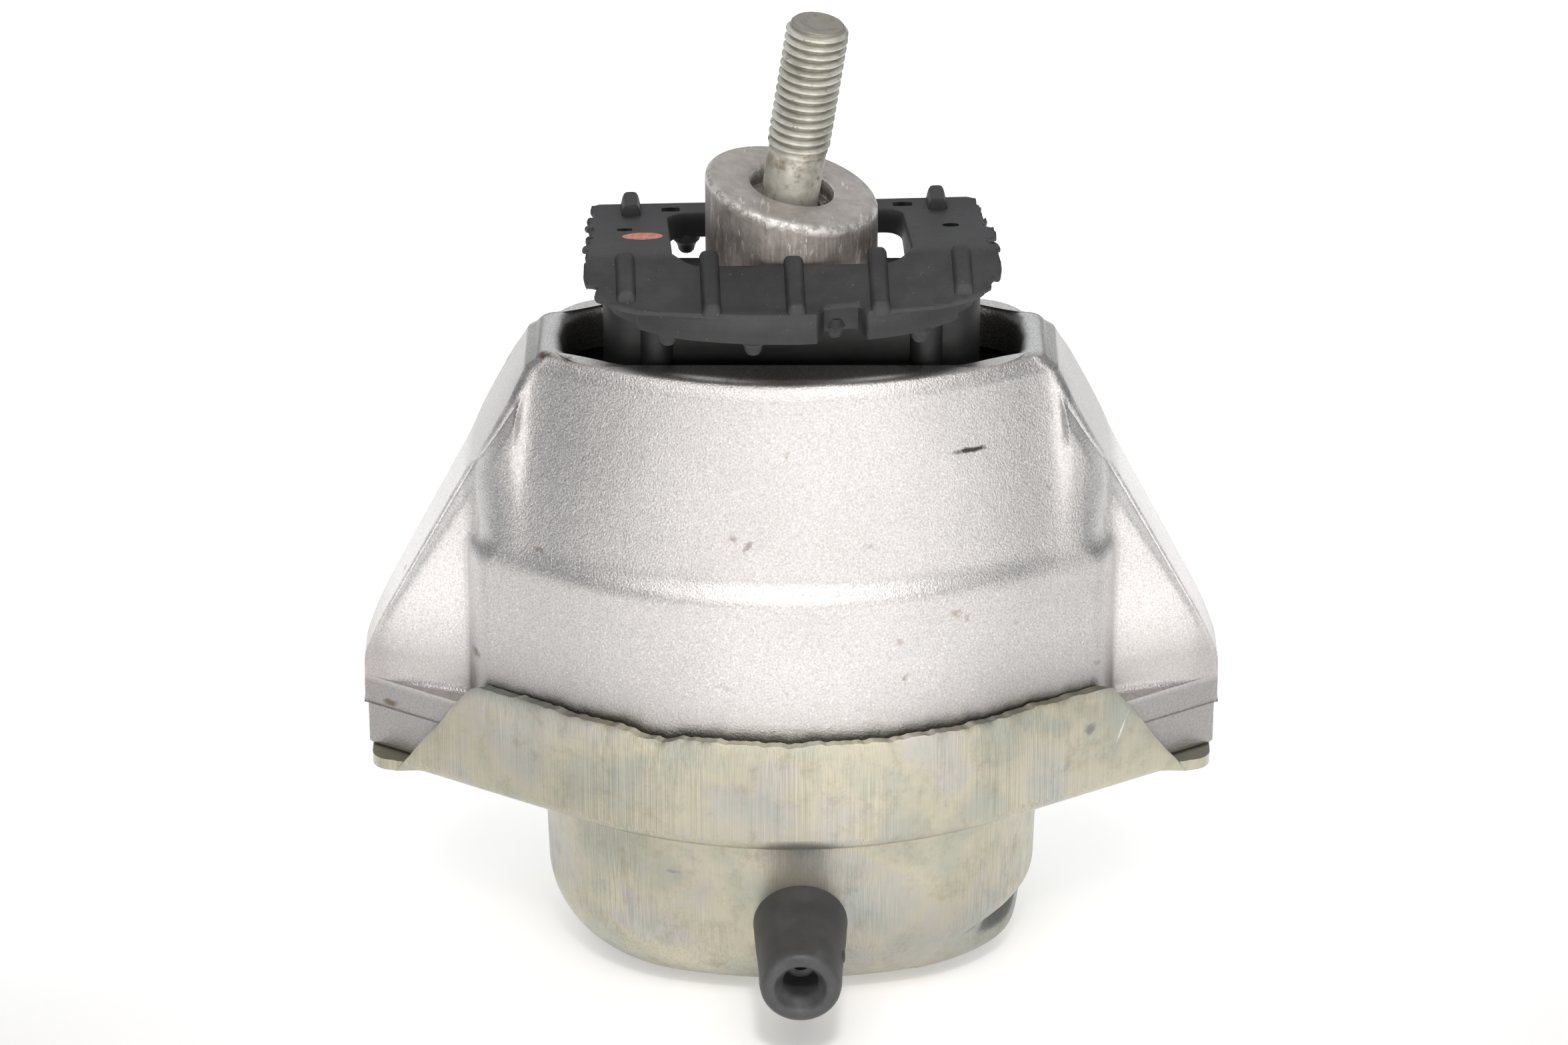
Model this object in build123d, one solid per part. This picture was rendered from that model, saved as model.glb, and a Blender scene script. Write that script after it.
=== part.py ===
"""Vacuum-switched hydraulic engine mount, in millimetres.

The origin is the middle of the cup's flat bottom. +Z is up, the two lugs lie along X, and the
vacuum sleeve points towards -Y. The bell is clamped on the base cup by two folded steel walls,
and the rubber-borne core rises through the bell's mouth and carries the stop buffer and the stud.
"""
from math import acos, asin, atan2, cos, degrees, hypot, radians, sin, sqrt, tan
import os

from build123d import *

# Base cup: drawn sheet, with a flange that carries the lugs and two folded clamping walls
sheet = 2.0
cup_half_width = 41.2
cup_half_depth = 30.2
cup_corner_offset = 2.2
cup_side_length = 0.776
cup_height = 34.2
cup_bottom_radius = 15.0
cup_draft = 1.5
ear_step = 1.1
flange_half_depth = 35.5
flange_face_radius = 70.0
ear_corner_radius = 3.5
fold_radius = 3.2
wall_height = 21.3
ear_flat = 4.5
wall_top_half_length = 52.4
wall_corner_radius = 3.0
ear_hole_diameter = 11.0
ear_hole_edge = 10.5

# Fluid stack, clamped between the cup's flange and the shoulder inside the bell
stack_overlap = 2.2
bead_height = 2.0
lower_plate_height = 4.5
upper_plate_height = 4.3
ring_thickness = 2.0
stack_clearance = 0.2
seat_shoulder = 2.0
ring_inner_inset = 7.5
collar_height = 9.0
collar_inset = 5.0
collar_taper = 3.0
collar_wall = 2.0
membrane_radius = 16.0
membrane_thickness = 2.4
membrane_play = 0.4
membrane_chamfer = 0.5
channel_width = 5.0
channel_depth = 3.0
channel_inset = 4.5
channel_port_radius = 2.1
rivet_diameter = 3.0
rivet_head_diameter = 5.0
rivet_head_height = 0.9
rivet_clearance = 0.3
rivet_gap = 6.0
rivet_depth_spacing = 18.0
port_radius = 5.0
slot_radius = 2.6
slot_ring_radius = 9.9
seal_wire = 1.2
seal_inset = 0.9

# Bellows and its switching pad
bellows_wall = 1.5
bellows_clearance = 1.3
bellows_floor = 14.0
pad_half_width = 15.0
pad_half_depth = 13.0
pad_thickness = 3.0
pad_corner_radius = 11.0
bag_bottom_radius = 10.0
disc_radius = 10.5
disc_thickness = 1.5
spring_wire = 1.8
spring_mean_radius = 8.6
spring_turns = 5.0

# Bell: die casting
clamp_gap = 0.3
bell_clearance = 0.2
body_half_width = 52.3
upper_half_width = 49.2
ledge_height = 79.5
ledge_half_depth = 30.8
upper_half_depth = 28.0
ledge_rise = 2.6
rim_height = 111.7
rim_side_wall = 4.4
rim_face_wall = 8.3
rim_flank_run = 5.08
mouth_side_gap = 6.8
mouth_face_gap = 2.3
mouth_corner_radius = 8.0
mouth_height = 8.0
body_corner_radius = 3.0
ridge_half_width = 4.2
ridge_shoulder_angle = 60.0
ridge_shoulder_depth = 4.0
wing_face_angle = 15.6
wing_draft = 1.0
wing_root = 44.3
wing_end_height = 60.2
wing_end_inset = 2.5
lug_half_length = 70.6
lug_end_half_width = 3.46
lug_shoulder_height = 53.6
lug_shelf_height = 49.8
lug_strip_width = 4.3
lug_inset = 0.5
parting_height = 44.4
lug_thread_diameter = 8.5
lug_thread_depth = 17.0
casting_wall = 4.5
casting_side_wall = 2.2
casting_top_wall = 3.7
cavity_corner_radius = 18.0
cavity_top_spread = 0.5
cavity_top_face_radius = 120.0
cavity_top_corner_radius = 7.0
ledge_face_radius = 80.0
ledge_flank_angle = 27.0
upper_face_radius = 90.0
upper_flank_angle = 25.0

# Core, stud and bonded rubber
boss_diameter = 27.5
boss_height = 138.2
boss_slope = 12.0
boss_edge_radius = 1.2
boss_bottom = 118.5
counterbore_diameter = 13.3
counterbore_depth = 3.2
stud_diameter = 10.0
stud_lean = 8.6
stud_length_out = 28.6
stud_length_in = 16.0
stud_shank = 6.5
stud_shank_diameter = 9.2
stud_chamfer = 0.8
arm_half_width = 27.5
arm_half_depth = 4.8
arm_top = 119.0
arm_bottom = 93.0
arm_corner_radius = 2.5
foot_half_width = 27.5
foot_half_depth = 9.0
foot_bottom = 80.0
foot_corner_radius = 6.0
plug_bottom = 64.0
plug_half_width = 13.0
plug_half_depth = 7.0
cover_thickness = 2.7
spring_root_height = 56.0
spring_root_inset = 5.2
spring_foot_inset = 4.0
spring_hollow_inset = 11.5
spring_hollow_roof = 3.0
spring_hollow_corner_radius = 5.0

# Stop buffer: rubber plate that slopes both ways from a crest in front of the boss
buffer_turn = 2.8
buffer_shift = -0.4
buffer_half_width = 32.2
buffer_rear_half_width = 31.0
buffer_crest_depth = 11.5
buffer_crest_height = 130.8
buffer_front_depth = 25.0
buffer_front_height = 126.4
buffer_rear_crease_depth = 14.4
buffer_rear_depth = 19.0
buffer_rear_height = 125.9
buffer_thickness = 3.9
buffer_skirt = 2.4
buffer_front_radius = 115.0
buffer_hole_half_width = 18.9
buffer_hole_clearance = 0.3
buffer_hole_radius = 3.5
rib_pitch = 13.25
rib_width = 2.1
rib_rise = 1.6
rib_inset = 1.2
rib_step = 0.7
rear_rib_offset = 24.8
rear_rib_rise = 2.2
nub_width = 2.6
nub_drop = 4.0
nub_inset = 3.2
notch_width = 7.8
notch_offset = 7.2
notch_length = 4.2
notch_corner_radius = 1.8
rear_nub_offset = 15.9

# Vacuum pipe and sleeve
nipple_outer = 5.2
nipple_inner = 3.4
nipple_height = 17.5
nipple_offset = 1.5
nipple_reach = 11.0
sleeve_root_diameter = 15.2
sleeve_end_diameter = 13.2
sleeve_reach = 19.3
sleeve_socket_diameter = 5.7
sleeve_mouth_diameter = 8.2
sleeve_funnel = 2.4
sleeve_rim_radius = 1.4

# Stations worked out from the sizes above
cup_corner_radius = cup_half_depth - cup_corner_offset
flange_top = cup_height + sheet
bell_bottom = flange_top + clamp_gap
bead_top = flange_top + bead_height
plate_split = bead_top + lower_plate_height
upper_plate_top = plate_split + upper_plate_height
shoulder = upper_plate_top + ring_thickness
wall_top = cup_height + wall_height
cover_top = arm_top + cover_thickness
flange_half_length = lug_half_length - ear_step
wall_half_length = flange_half_length - ear_flat
ear_hole_place = flange_half_length - ear_hole_edge
lug_half_depth = flange_half_depth - sheet - bell_clearance
lug_face_radius = flange_face_radius - sheet - bell_clearance
mouth_half_width = arm_half_width + cover_thickness + mouth_side_gap
mouth_half_depth = arm_half_depth + cover_thickness + mouth_face_gap
rim_half_width = mouth_half_width + rim_side_wall
rim_half_depth = mouth_half_depth + rim_face_wall
rim_face_radius = (rim_half_width - rim_flank_run) / sin(radians(ledge_flank_angle))
draft_inset = cup_height * tan(radians(cup_draft))
clear = 400.0


def tangent_angle(half_length, half_depth, face_radius, end_half_width):
    """Angle in degrees of the flank from a bowed face to the end of a lug of one width."""
    rise = end_half_width - half_depth + face_radius
    return degrees(atan2(half_length, rise) - acos(face_radius / hypot(half_length, rise)))


def bowed_radius(half_width, half_depth, corner_radius, side_length):
    """Radius of the faces that meet the corner arcs, with a straight side of one length between."""
    corner_x = half_width - corner_radius
    reach = half_depth - side_length / 2
    return (corner_x**2 + reach**2 - corner_radius**2) / (2 * (reach - corner_radius))


flank_angle = tangent_angle(lug_half_length, lug_half_depth, lug_face_radius, lug_end_half_width)
cup_face_radius = bowed_radius(cup_half_width, cup_half_depth, cup_corner_radius, cup_side_length)


def station(height):
    """Workplane parallel to XY at one height."""
    return Plane.XY.offset(height)


def barrel(half_width, half_depth, face_radius, corner_radius):
    """Closed outline with bowed front and rear faces, round corners and short straight sides."""
    corner_x = half_width - corner_radius
    centre_y = face_radius - half_depth
    corner_y = sqrt((face_radius - corner_radius) ** 2 - corner_x**2) - centre_y
    turn = asin(corner_x / (face_radius - corner_radius))
    tangent = (face_radius * sin(turn), face_radius * cos(turn) - centre_y)
    middle = (turn + radians(90)) / 2
    corner_middle = (corner_x + corner_radius * sin(middle), corner_y + corner_radius * cos(middle))
    edges = []
    for side in (1, -1):
        face_from = (-side * tangent[0], side * tangent[1])
        face_to = (side * tangent[0], side * tangent[1])
        edges.append(ThreePointArc(face_from, (0, side * half_depth), face_to))
        for hand in (1, -1):
            start = (hand * tangent[0], side * tangent[1])
            through = (hand * corner_middle[0], side * corner_middle[1])
            edges.append(ThreePointArc(start, through, (hand * half_width, side * corner_y)))
    for hand in (1, -1):
        edges.append(Line((hand * half_width, corner_y), (hand * half_width, -corner_y)))
    return make_face(Wire.combine([e.edge() for e in edges])[0])


def cup_outline(grow):
    """The cup's outline, moved outwards by one distance."""
    return barrel(
        cup_half_width + grow,
        cup_half_depth + grow,
        cup_face_radius + grow,
        cup_corner_radius + grow,
    )


def flank_depth(x, half_depth, face_radius, angle):
    """Half depth of a straight flank, tangent to the bowed face, at one X position."""
    turn = radians(angle)
    tangent_y = half_depth - face_radius * (1 - cos(turn))
    return tangent_y - (x - face_radius * sin(turn)) * tan(turn)


def flank_outline(half_length, half_depth, face_radius, angle):
    """Outline of the bell and flange: bowed face, straight flanks and square ends."""
    tangent_x = face_radius * sin(radians(angle))
    tangent_y = flank_depth(tangent_x, half_depth, face_radius, angle)
    end_y = flank_depth(half_length, half_depth, face_radius, angle)
    edges = []
    for side in (1, -1):
        face_from = (-tangent_x, side * tangent_y)
        face_to = (tangent_x, side * tangent_y)
        edges.append(ThreePointArc(face_from, (0, side * half_depth), face_to))
        for hand in (1, -1):
            flank_from = (hand * tangent_x, side * tangent_y)
            edges.append(Line(flank_from, (hand * half_length, side * end_y)))
    for hand in (1, -1):
        edges.append(Line((hand * half_length, end_y), (hand * half_length, -end_y)))
    return make_face(Wire.combine([e.edge() for e in edges])[0])


def prism(sketch, low, high):
    """Upright solid of one outline between two heights."""
    return extrude(station(low) * sketch, high - low)


def side_spread(outline):
    """Solid of an outline drawn as X and Z, spread equally to the front and the rear."""
    return extrude(Plane.XZ * outline, clear, both=True)


def upright_edges(solid):
    return solid.edges().filter_by(Axis.Z)


def flange_outline(inset):
    """The flange's outline, moved inwards by one distance."""
    return flank_outline(
        flange_half_length - inset,
        flange_half_depth - inset,
        flange_face_radius - inset,
        flank_angle,
    )


def cup_solid(low, high, inset):
    """Drafted, round-bottomed solid of the cup, moved inwards by one distance."""
    floor = cup_outline(-draft_inset - inset)
    solid = extrude(station(low) * floor, high - low, taper=-cup_draft)
    return fillet(solid.faces().sort_by(Axis.Z)[0].edges(), cup_bottom_radius - inset)


def make_base_cup():
    """Drawn cup, flat flange with two ears, and the folded walls with slanted ends."""
    outside = cup_solid(0, cup_height, 0)
    inside = cup_solid(sheet, flange_top, sheet)
    blank = prism(flange_outline(0), cup_height, wall_top)
    blank = fillet(upright_edges(blank), ear_corner_radius)
    blank = fillet(blank.faces().sort_by(Axis.Z)[0].edges(), fold_radius)
    pan = blank - prism(flange_outline(sheet), flange_top, wall_top + sheet)
    wall_outline = make_face(
        Polyline(
            (-wall_half_length, cup_height),
            (-wall_half_length, flange_top),
            (-wall_top_half_length, wall_top),
            (wall_top_half_length, wall_top),
            (wall_half_length, flange_top),
            (wall_half_length, cup_height),
            close=True,
        )
    )
    wall_outline = fillet(wall_outline.vertices().group_by(Axis.Y)[-1], wall_corner_radius)
    ears = prism(flange_outline(0), cup_height, flange_top)
    ears = fillet(upright_edges(ears), ear_corner_radius)
    ears -= prism(Rectangle(2 * wall_half_length, clear), 0, wall_top)
    cup = (pan & side_spread(wall_outline)) + ears + outside - inside
    for hand in (1, -1):
        cup -= Pos(hand * ear_hole_place, 0, cup_height) * Cylinder(ear_hole_diameter / 2, 4 * sheet)
    cup -= Pos(nipple_offset, 0, nipple_height) * Rot(90, 0, 0) * Cylinder(
        nipple_outer / 2, cup_half_depth + sheet, align=(Align.CENTER, Align.CENTER, Align.MIN)
    )
    return cup


def bell_section(half_width, half_depth, face_radius, angle, height):
    section = flank_outline(half_width, half_depth, face_radius, angle)
    corners = [v for v in section.vertices() if abs(v.X) > half_width - 0.1]
    return station(height) * fillet(corners, body_corner_radius)


def make_bell_body():
    """Bowed body in three lofted storeys: clamped foot, sloping ledge and tapering upper part."""
    ledge_low = ledge_height - ledge_rise / 2
    ledge_high = ledge_height + ledge_rise / 2
    foot = bell_section(body_half_width, lug_half_depth, lug_face_radius, flank_angle, bell_bottom)
    ledge = bell_section(
        body_half_width, ledge_half_depth, ledge_face_radius, ledge_flank_angle, ledge_low
    )
    upper = bell_section(
        upper_half_width, upper_half_depth, upper_face_radius, upper_flank_angle, ledge_high
    )
    rim = bell_section(
        rim_half_width, rim_half_depth, rim_face_radius, ledge_flank_angle, rim_height
    )
    return loft([foot, ledge]) + loft([ledge, upper]) + loft([upper, rim])


def ridge_roof(hand):
    """Everything under one sloping ridge: a flat top between two steep shoulders."""
    run = lug_half_length - wing_end_inset - rim_half_width
    drop = rim_height - wing_end_height
    spread = ridge_half_width + ridge_shoulder_depth * tan(radians(ridge_shoulder_angle))
    section = make_face(
        Polyline(
            (0, -ridge_half_width),
            (ridge_shoulder_depth, -spread),
            (clear, -spread),
            (clear, spread),
            (ridge_shoulder_depth, spread),
            (0, ridge_half_width),
            close=True,
        )
    )
    ridge = Plane(
        origin=(hand * rim_half_width, 0, rim_height),
        x_dir=(-hand * drop, 0, -run),
        z_dir=(hand * run, 0, -drop),
    )
    return ridge * extrude(section, clear, both=True)


def make_wings():
    """Two drafted webs under sloping ridges, standing on solid lugs that form a shelf."""
    plan = flank_outline(lug_half_length, lug_half_depth, lug_face_radius, flank_angle)
    strip_x = lug_half_length - lug_strip_width
    strip_y = flank_depth(strip_x, lug_half_depth, lug_face_radius, flank_angle)
    slope = tan(radians(wing_face_angle))
    root_y = strip_y + (strip_x - wing_root) * slope
    tip_x = lug_half_length + sheet
    tip_y = strip_y - (tip_x - strip_x) * slope
    web_plan = make_face(
        Polyline(
            (-tip_x, -tip_y),
            (-wing_root, -root_y),
            (wing_root, -root_y),
            (tip_x, -tip_y),
            (tip_x, tip_y),
            (wing_root, root_y),
            (-wing_root, root_y),
            (-tip_x, tip_y),
            close=True,
        )
    )
    rise = rim_height - lug_shelf_height
    webs = extrude(station(lug_shelf_height) * web_plan, rise, taper=wing_draft)
    webs &= prism(plan, lug_shelf_height, rim_height)
    webs = webs & ridge_roof(1) & ridge_roof(-1)
    foot_plan = flank_outline(
        lug_half_length - lug_inset, lug_half_depth - lug_inset, lug_face_radius - lug_inset, flank_angle
    )
    lugs = prism(plan, parting_height, lug_shelf_height)
    lugs += prism(foot_plan, bell_bottom, parting_height)
    lugs -= prism(Rectangle(2 * wing_root, clear), 0, clear)
    end_x = lug_half_length - wing_end_inset
    side_outline = make_face(
        Polyline(
            (-lug_half_length, bell_bottom),
            (-lug_half_length, lug_shoulder_height),
            (-end_x, wing_end_height),
            (-rim_half_width, rim_height),
            (rim_half_width, rim_height),
            (end_x, wing_end_height),
            (lug_half_length, lug_shoulder_height),
            (lug_half_length, bell_bottom),
            close=True,
        )
    )
    return (webs + lugs) & side_spread(side_outline)


def make_housing():
    """Body and wings in one casting, with the mouth, the cavity, the stack's seat and two threads."""
    bell = make_bell_body() + make_wings()
    mouth = RectangleRounded(2 * mouth_half_width, 2 * mouth_half_depth, mouth_corner_radius)
    bell -= prism(mouth, rim_height - mouth_height - 1.0, rim_height + 1.0)
    bell -= make_bell_cavity()
    seat = cup_outline(stack_overlap - sheet + stack_clearance)
    bell -= prism(seat, bell_bottom - 1.0, shoulder)
    lug_hole = Cylinder(
        lug_thread_diameter / 2, lug_thread_depth, align=(Align.CENTER, Align.CENTER, Align.MIN)
    )
    for hand in (1, -1):
        bell -= Pos(hand * ear_hole_place, 0, bell_bottom) * lug_hole
    return bell.solids().sort_by(SortBy.VOLUME)[-1]


def make_bell_cavity():
    """Room for the spring: from the stack's shoulder, over the widest part, to the mouth."""
    waist = ledge_height - casting_wall
    low = station(shoulder) * cup_outline(stack_overlap - sheet + stack_clearance - seat_shoulder)
    wide = station(waist) * barrel(
        upper_half_width - casting_side_wall,
        ledge_half_depth - casting_wall,
        ledge_face_radius,
        cavity_corner_radius,
    )
    top = station(rim_height - mouth_height) * barrel(
        mouth_half_width + cavity_top_spread,
        rim_half_depth - casting_top_wall,
        cavity_top_face_radius,
        cavity_top_corner_radius,
    )
    return loft([low, wide]) + loft([wide, top])


def core_envelope(grow):
    """Arm, foot and plug of the core; grow adds the bonded rubber's thickness."""
    arm = prism(
        RectangleRounded(
            2 * (arm_half_width + grow), 2 * (arm_half_depth + grow), arm_corner_radius + grow
        ),
        arm_bottom - 1.0,
        arm_top,
    )
    foot = prism(
        RectangleRounded(
            2 * (foot_half_width + grow), 2 * (foot_half_depth + grow), foot_corner_radius + grow
        ),
        foot_bottom - grow,
        arm_bottom + grow,
    )
    return arm + foot


def make_core():
    """Casting: oblique boss, arm through the mouth, foot under the rim and plug in the rubber."""
    boss = Pos(0, 0, boss_bottom) * Cylinder(
        boss_diameter / 2, boss_height, align=(Align.CENTER, Align.CENTER, Align.MIN)
    )
    face_normal = (sin(radians(boss_slope)), 0, cos(radians(boss_slope)))
    face_plane = Plane(origin=(0, 0, boss_height), z_dir=face_normal)
    boss = split(boss, face_plane, keep=Keep.BOTTOM)
    boss = fillet(boss.faces().sort_by(Axis.Z)[-1].edges(), boss_edge_radius)
    foot_plan = RectangleRounded(2 * foot_half_width, 2 * foot_half_depth, foot_corner_radius)
    plug_plan = RectangleRounded(2 * plug_half_width, 2 * plug_half_depth, foot_corner_radius)
    plug = loft([station(foot_bottom) * foot_plan, station(plug_bottom) * plug_plan])
    core = core_envelope(0) + plug
    core += boss
    core -= stud_frame() * Cylinder(
        counterbore_diameter / 2, counterbore_depth + 10.0, align=(Align.CENTER, Align.CENTER, Align.MIN)
    ).moved(Pos(0, 0, -counterbore_depth))
    core -= stud_frame() * Cylinder(
        stud_shank_diameter / 2, stud_length_in + 10.0, align=(Align.CENTER, Align.CENTER, Align.MIN)
    ).moved(Pos(0, 0, -stud_length_in))
    return core


def stud_frame():
    """Frame on the boss's face, with its Z axis along the leaning stud."""
    return Location((0, 0, boss_height), (0, stud_lean, 0))


def make_stud():
    """Stud with a full-size threaded end on a slightly thinner shank that is set in the boss."""
    thread = Cylinder(
        stud_diameter / 2, stud_length_out - stud_shank, align=(Align.CENTER, Align.CENTER, Align.MIN)
    )
    thread = chamfer(thread.edges().filter_by(GeomType.CIRCLE), stud_chamfer)
    shank = Cylinder(
        stud_shank_diameter / 2,
        stud_length_in + stud_shank + stud_chamfer,
        align=(Align.CENTER, Align.CENTER, Align.MIN),
    )
    return stud_frame() * (Pos(0, 0, stud_shank) * thread + Pos(0, 0, -stud_length_in) * shank)


def make_support_ring():
    """Pressed steel ring: flat flange in the stack and a conical collar in the rubber."""
    low = shoulder - ring_thickness
    flange = prism(cup_outline(stack_overlap - sheet), low, shoulder)
    flange -= prism(cup_outline(-ring_inner_inset), low - 1.0, shoulder + 1.0)
    outer, inner = [
        loft(
            [
                station(low) * cup_outline(-inset),
                station(low + collar_height) * cup_outline(-inset - collar_taper),
            ]
        )
        for inset in (collar_inset, collar_inset + collar_wall)
    ]
    return flange + outer - inner


def make_load_spring():
    """Bonded rubber: cover of the arm and foot, and the hollow flared body under them."""
    cover = core_envelope(cover_thickness)
    cover += prism(
        RectangleRounded(
            2 * (arm_half_width + cover_thickness),
            2 * (arm_half_depth + cover_thickness),
            arm_corner_radius + cover_thickness,
        ),
        arm_bottom,
        cover_top,
    )
    top = RectangleRounded(
        2 * (foot_half_width + cover_thickness - 1.0),
        2 * (foot_half_depth + cover_thickness - 1.0),
        foot_corner_radius + cover_thickness - 1.0,
    )
    root = cup_outline(-spring_root_inset)
    flare = loft([station(foot_bottom) * top, station(spring_root_height) * root])
    flare += loft(
        [station(spring_root_height) * root, station(shoulder) * cup_outline(-spring_foot_inset)]
    )
    hollow_low = cup_outline(-spring_hollow_inset)
    hollow_top = RectangleRounded(
        2 * plug_half_width, 2 * plug_half_depth, spring_hollow_corner_radius
    )
    hollow = loft(
        [
            station(shoulder - 1.0) * hollow_low,
            station(plug_bottom - spring_hollow_roof) * hollow_top,
        ]
    )
    rubber = cover + flare - hollow
    rubber -= make_core()
    rubber -= make_support_ring()
    return rubber.solids().sort_by(SortBy.VOLUME)[-1]


def channel_ring(grow):
    """Track of the damping channel, between the membrane and the stack's edge."""
    return cup_outline(grow - channel_inset) - cup_outline(-channel_inset - channel_width - grow)


def rivet_places():
    """Four rivets on the diagonals, outside the membrane and inside the channel."""
    reach_x = membrane_radius + rivet_gap
    reach_y = rivet_depth_spacing / 2
    return [(reach_x, reach_y), (-reach_x, reach_y), (-reach_x, -reach_y), (reach_x, -reach_y)]


def make_lower_plate():
    """Lower nozzle plate with the channel's groove, the membrane's seat and the idle port."""
    plate = prism(cup_outline(stack_overlap - sheet), bead_top, plate_split)
    plate -= prism(channel_ring(0), plate_split - channel_depth, plate_split)
    seat_depth = membrane_thickness / 2 + membrane_play
    plate -= prism(Circle(membrane_radius + membrane_play), plate_split - seat_depth, plate_split)
    plate -= prism(Circle(port_radius), bead_top - 1.0, plate_split)
    for x, y in rivet_places():
        plate -= prism(Pos(x, y) * Circle(rivet_diameter / 2), 0, plate_split)
    outlet = Pos(0, cup_half_depth - channel_inset - channel_width / 2) * Circle(channel_port_radius)
    plate -= prism(outlet, bead_top - 1.0, plate_split)
    return plate


def make_upper_plate():
    """Upper nozzle plate with the membrane's grid and the channel's inlet."""
    plate = prism(cup_outline(stack_overlap - sheet), plate_split, upper_plate_top)
    seat_depth = membrane_thickness / 2 + membrane_play
    plate -= prism(Circle(membrane_radius + membrane_play), plate_split, plate_split + seat_depth)
    slots = [Circle(slot_radius)]
    for turn in range(8):
        angle = radians(45 * turn)
        place = Pos(slot_ring_radius * cos(angle), slot_ring_radius * sin(angle))
        slots.append(place * Circle(slot_radius))
    for slot in slots:
        plate -= prism(slot, plate_split, upper_plate_top + 1.0)
    for x, y in rivet_places():
        plate -= prism(Pos(x, y) * Circle(rivet_diameter / 2), 0, clear)
    inlet = Pos(0, channel_inset + channel_width / 2 - cup_half_depth) * Circle(channel_port_radius)
    plate -= prism(inlet, plate_split - 1.0, upper_plate_top + 1.0)
    groove = seal_outline()
    plate -= prism(groove, upper_plate_top - seal_wire, upper_plate_top + 1.0)
    return plate


def seal_outline():
    return cup_outline(-seal_inset) - cup_outline(-seal_inset - seal_wire)


def make_seal_ring():
    """Rubber ring in the upper plate's groove, flush under the support ring."""
    return prism(seal_outline(), upper_plate_top - seal_wire, upper_plate_top)


def make_membrane():
    """Loose rubber disc that floats between the two plates."""
    disc = Cylinder(membrane_radius, membrane_thickness)
    disc = chamfer(disc.edges().filter_by(GeomType.CIRCLE), membrane_chamfer)
    return Pos(0, 0, plate_split) * disc


def make_rivet(x, y):
    """One rivet through both plates, with a low round head at each end."""
    shank = prism(Circle(rivet_diameter / 2), bead_top, upper_plate_top)
    heads = prism(Circle(rivet_head_diameter / 2), bead_top - rivet_head_height, bead_top)
    heads += prism(Circle(rivet_head_diameter / 2), upper_plate_top, upper_plate_top + rivet_head_height)
    return Pos(x, y) * (shank + heads)


def make_bellows():
    """Rolling diaphragm: clamped bead, hanging lobe and the raised pad under the idle port."""
    bag_inset = sheet + bellows_clearance + draft_inset
    bag = prism(cup_outline(-bag_inset), bellows_floor, bead_top)
    bag = fillet(bag.faces().sort_by(Axis.Z)[0].edges(), bag_bottom_radius)
    void = prism(
        cup_outline(-bag_inset - bellows_wall),
        bellows_floor + bellows_wall,
        bead_top + 1.0,
    )
    void = fillet(void.faces().sort_by(Axis.Z)[0].edges(), bag_bottom_radius - bellows_wall)
    pad_plan = RectangleRounded(2 * pad_half_width, 2 * pad_half_depth, pad_corner_radius)
    column = prism(pad_plan, 0, bead_top - pad_thickness)
    sleeve_plan = RectangleRounded(
        2 * (pad_half_width + bellows_wall),
        2 * (pad_half_depth + bellows_wall),
        pad_corner_radius + bellows_wall,
    )
    pad = prism(sleeve_plan, bellows_floor, bead_top)
    bead = prism(cup_outline(stack_overlap - sheet), flange_top, bead_top)
    bead -= prism(cup_outline(-bag_inset - bellows_wall), 0, clear)
    rubber = bag - void + (pad & bag) - column + bead
    for x, y in rivet_places():
        relief = Circle(rivet_head_diameter / 2 + rivet_clearance)
        rubber -= prism(Pos(x, y) * relief, bead_top - bead_height, clear)
    return rubber


def make_bellows_disc():
    """Steel disc bonded under the pad; the return spring bears on it."""
    top = bead_top - pad_thickness
    return prism(Circle(disc_radius), top - disc_thickness, top)


def make_return_spring():
    """Compression spring from the cup's floor to the disc, with one wire all the way."""
    low = sheet + spring_wire / 2
    high = bead_top - pad_thickness - disc_thickness - spring_wire / 2
    path = Helix(pitch=(high - low) / spring_turns, height=high - low, radius=spring_mean_radius)
    path = Pos(0, 0, low) * path
    profile = Plane(origin=path @ 0, z_dir=path % 0) * RegularPolygon(spring_wire / 2, 6)
    return sweep(profile, path=path, is_frenet=True)


def buffer_frame():
    """The loose buffer sits a little turned and shifted on the arm."""
    return Location((buffer_shift, 0, 0), (0, 0, buffer_turn))


def buffer_top_at(depth):
    """Height of the buffer's upper face at a distance in front of the boss's axis."""
    fall = (buffer_crest_height - buffer_front_height) / (buffer_front_depth - buffer_crest_depth)
    return buffer_crest_height - fall * (depth - buffer_crest_depth)


def depth_profile(points, low, high):
    """Solid of an outline drawn in the YZ plane, between two X positions."""
    outline = make_face(Polyline(*[(0, y, z) for y, z in points], close=True))
    return Pos(low, 0, 0) * extrude(outline, high - low, dir=(1, 0, 0))


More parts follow.
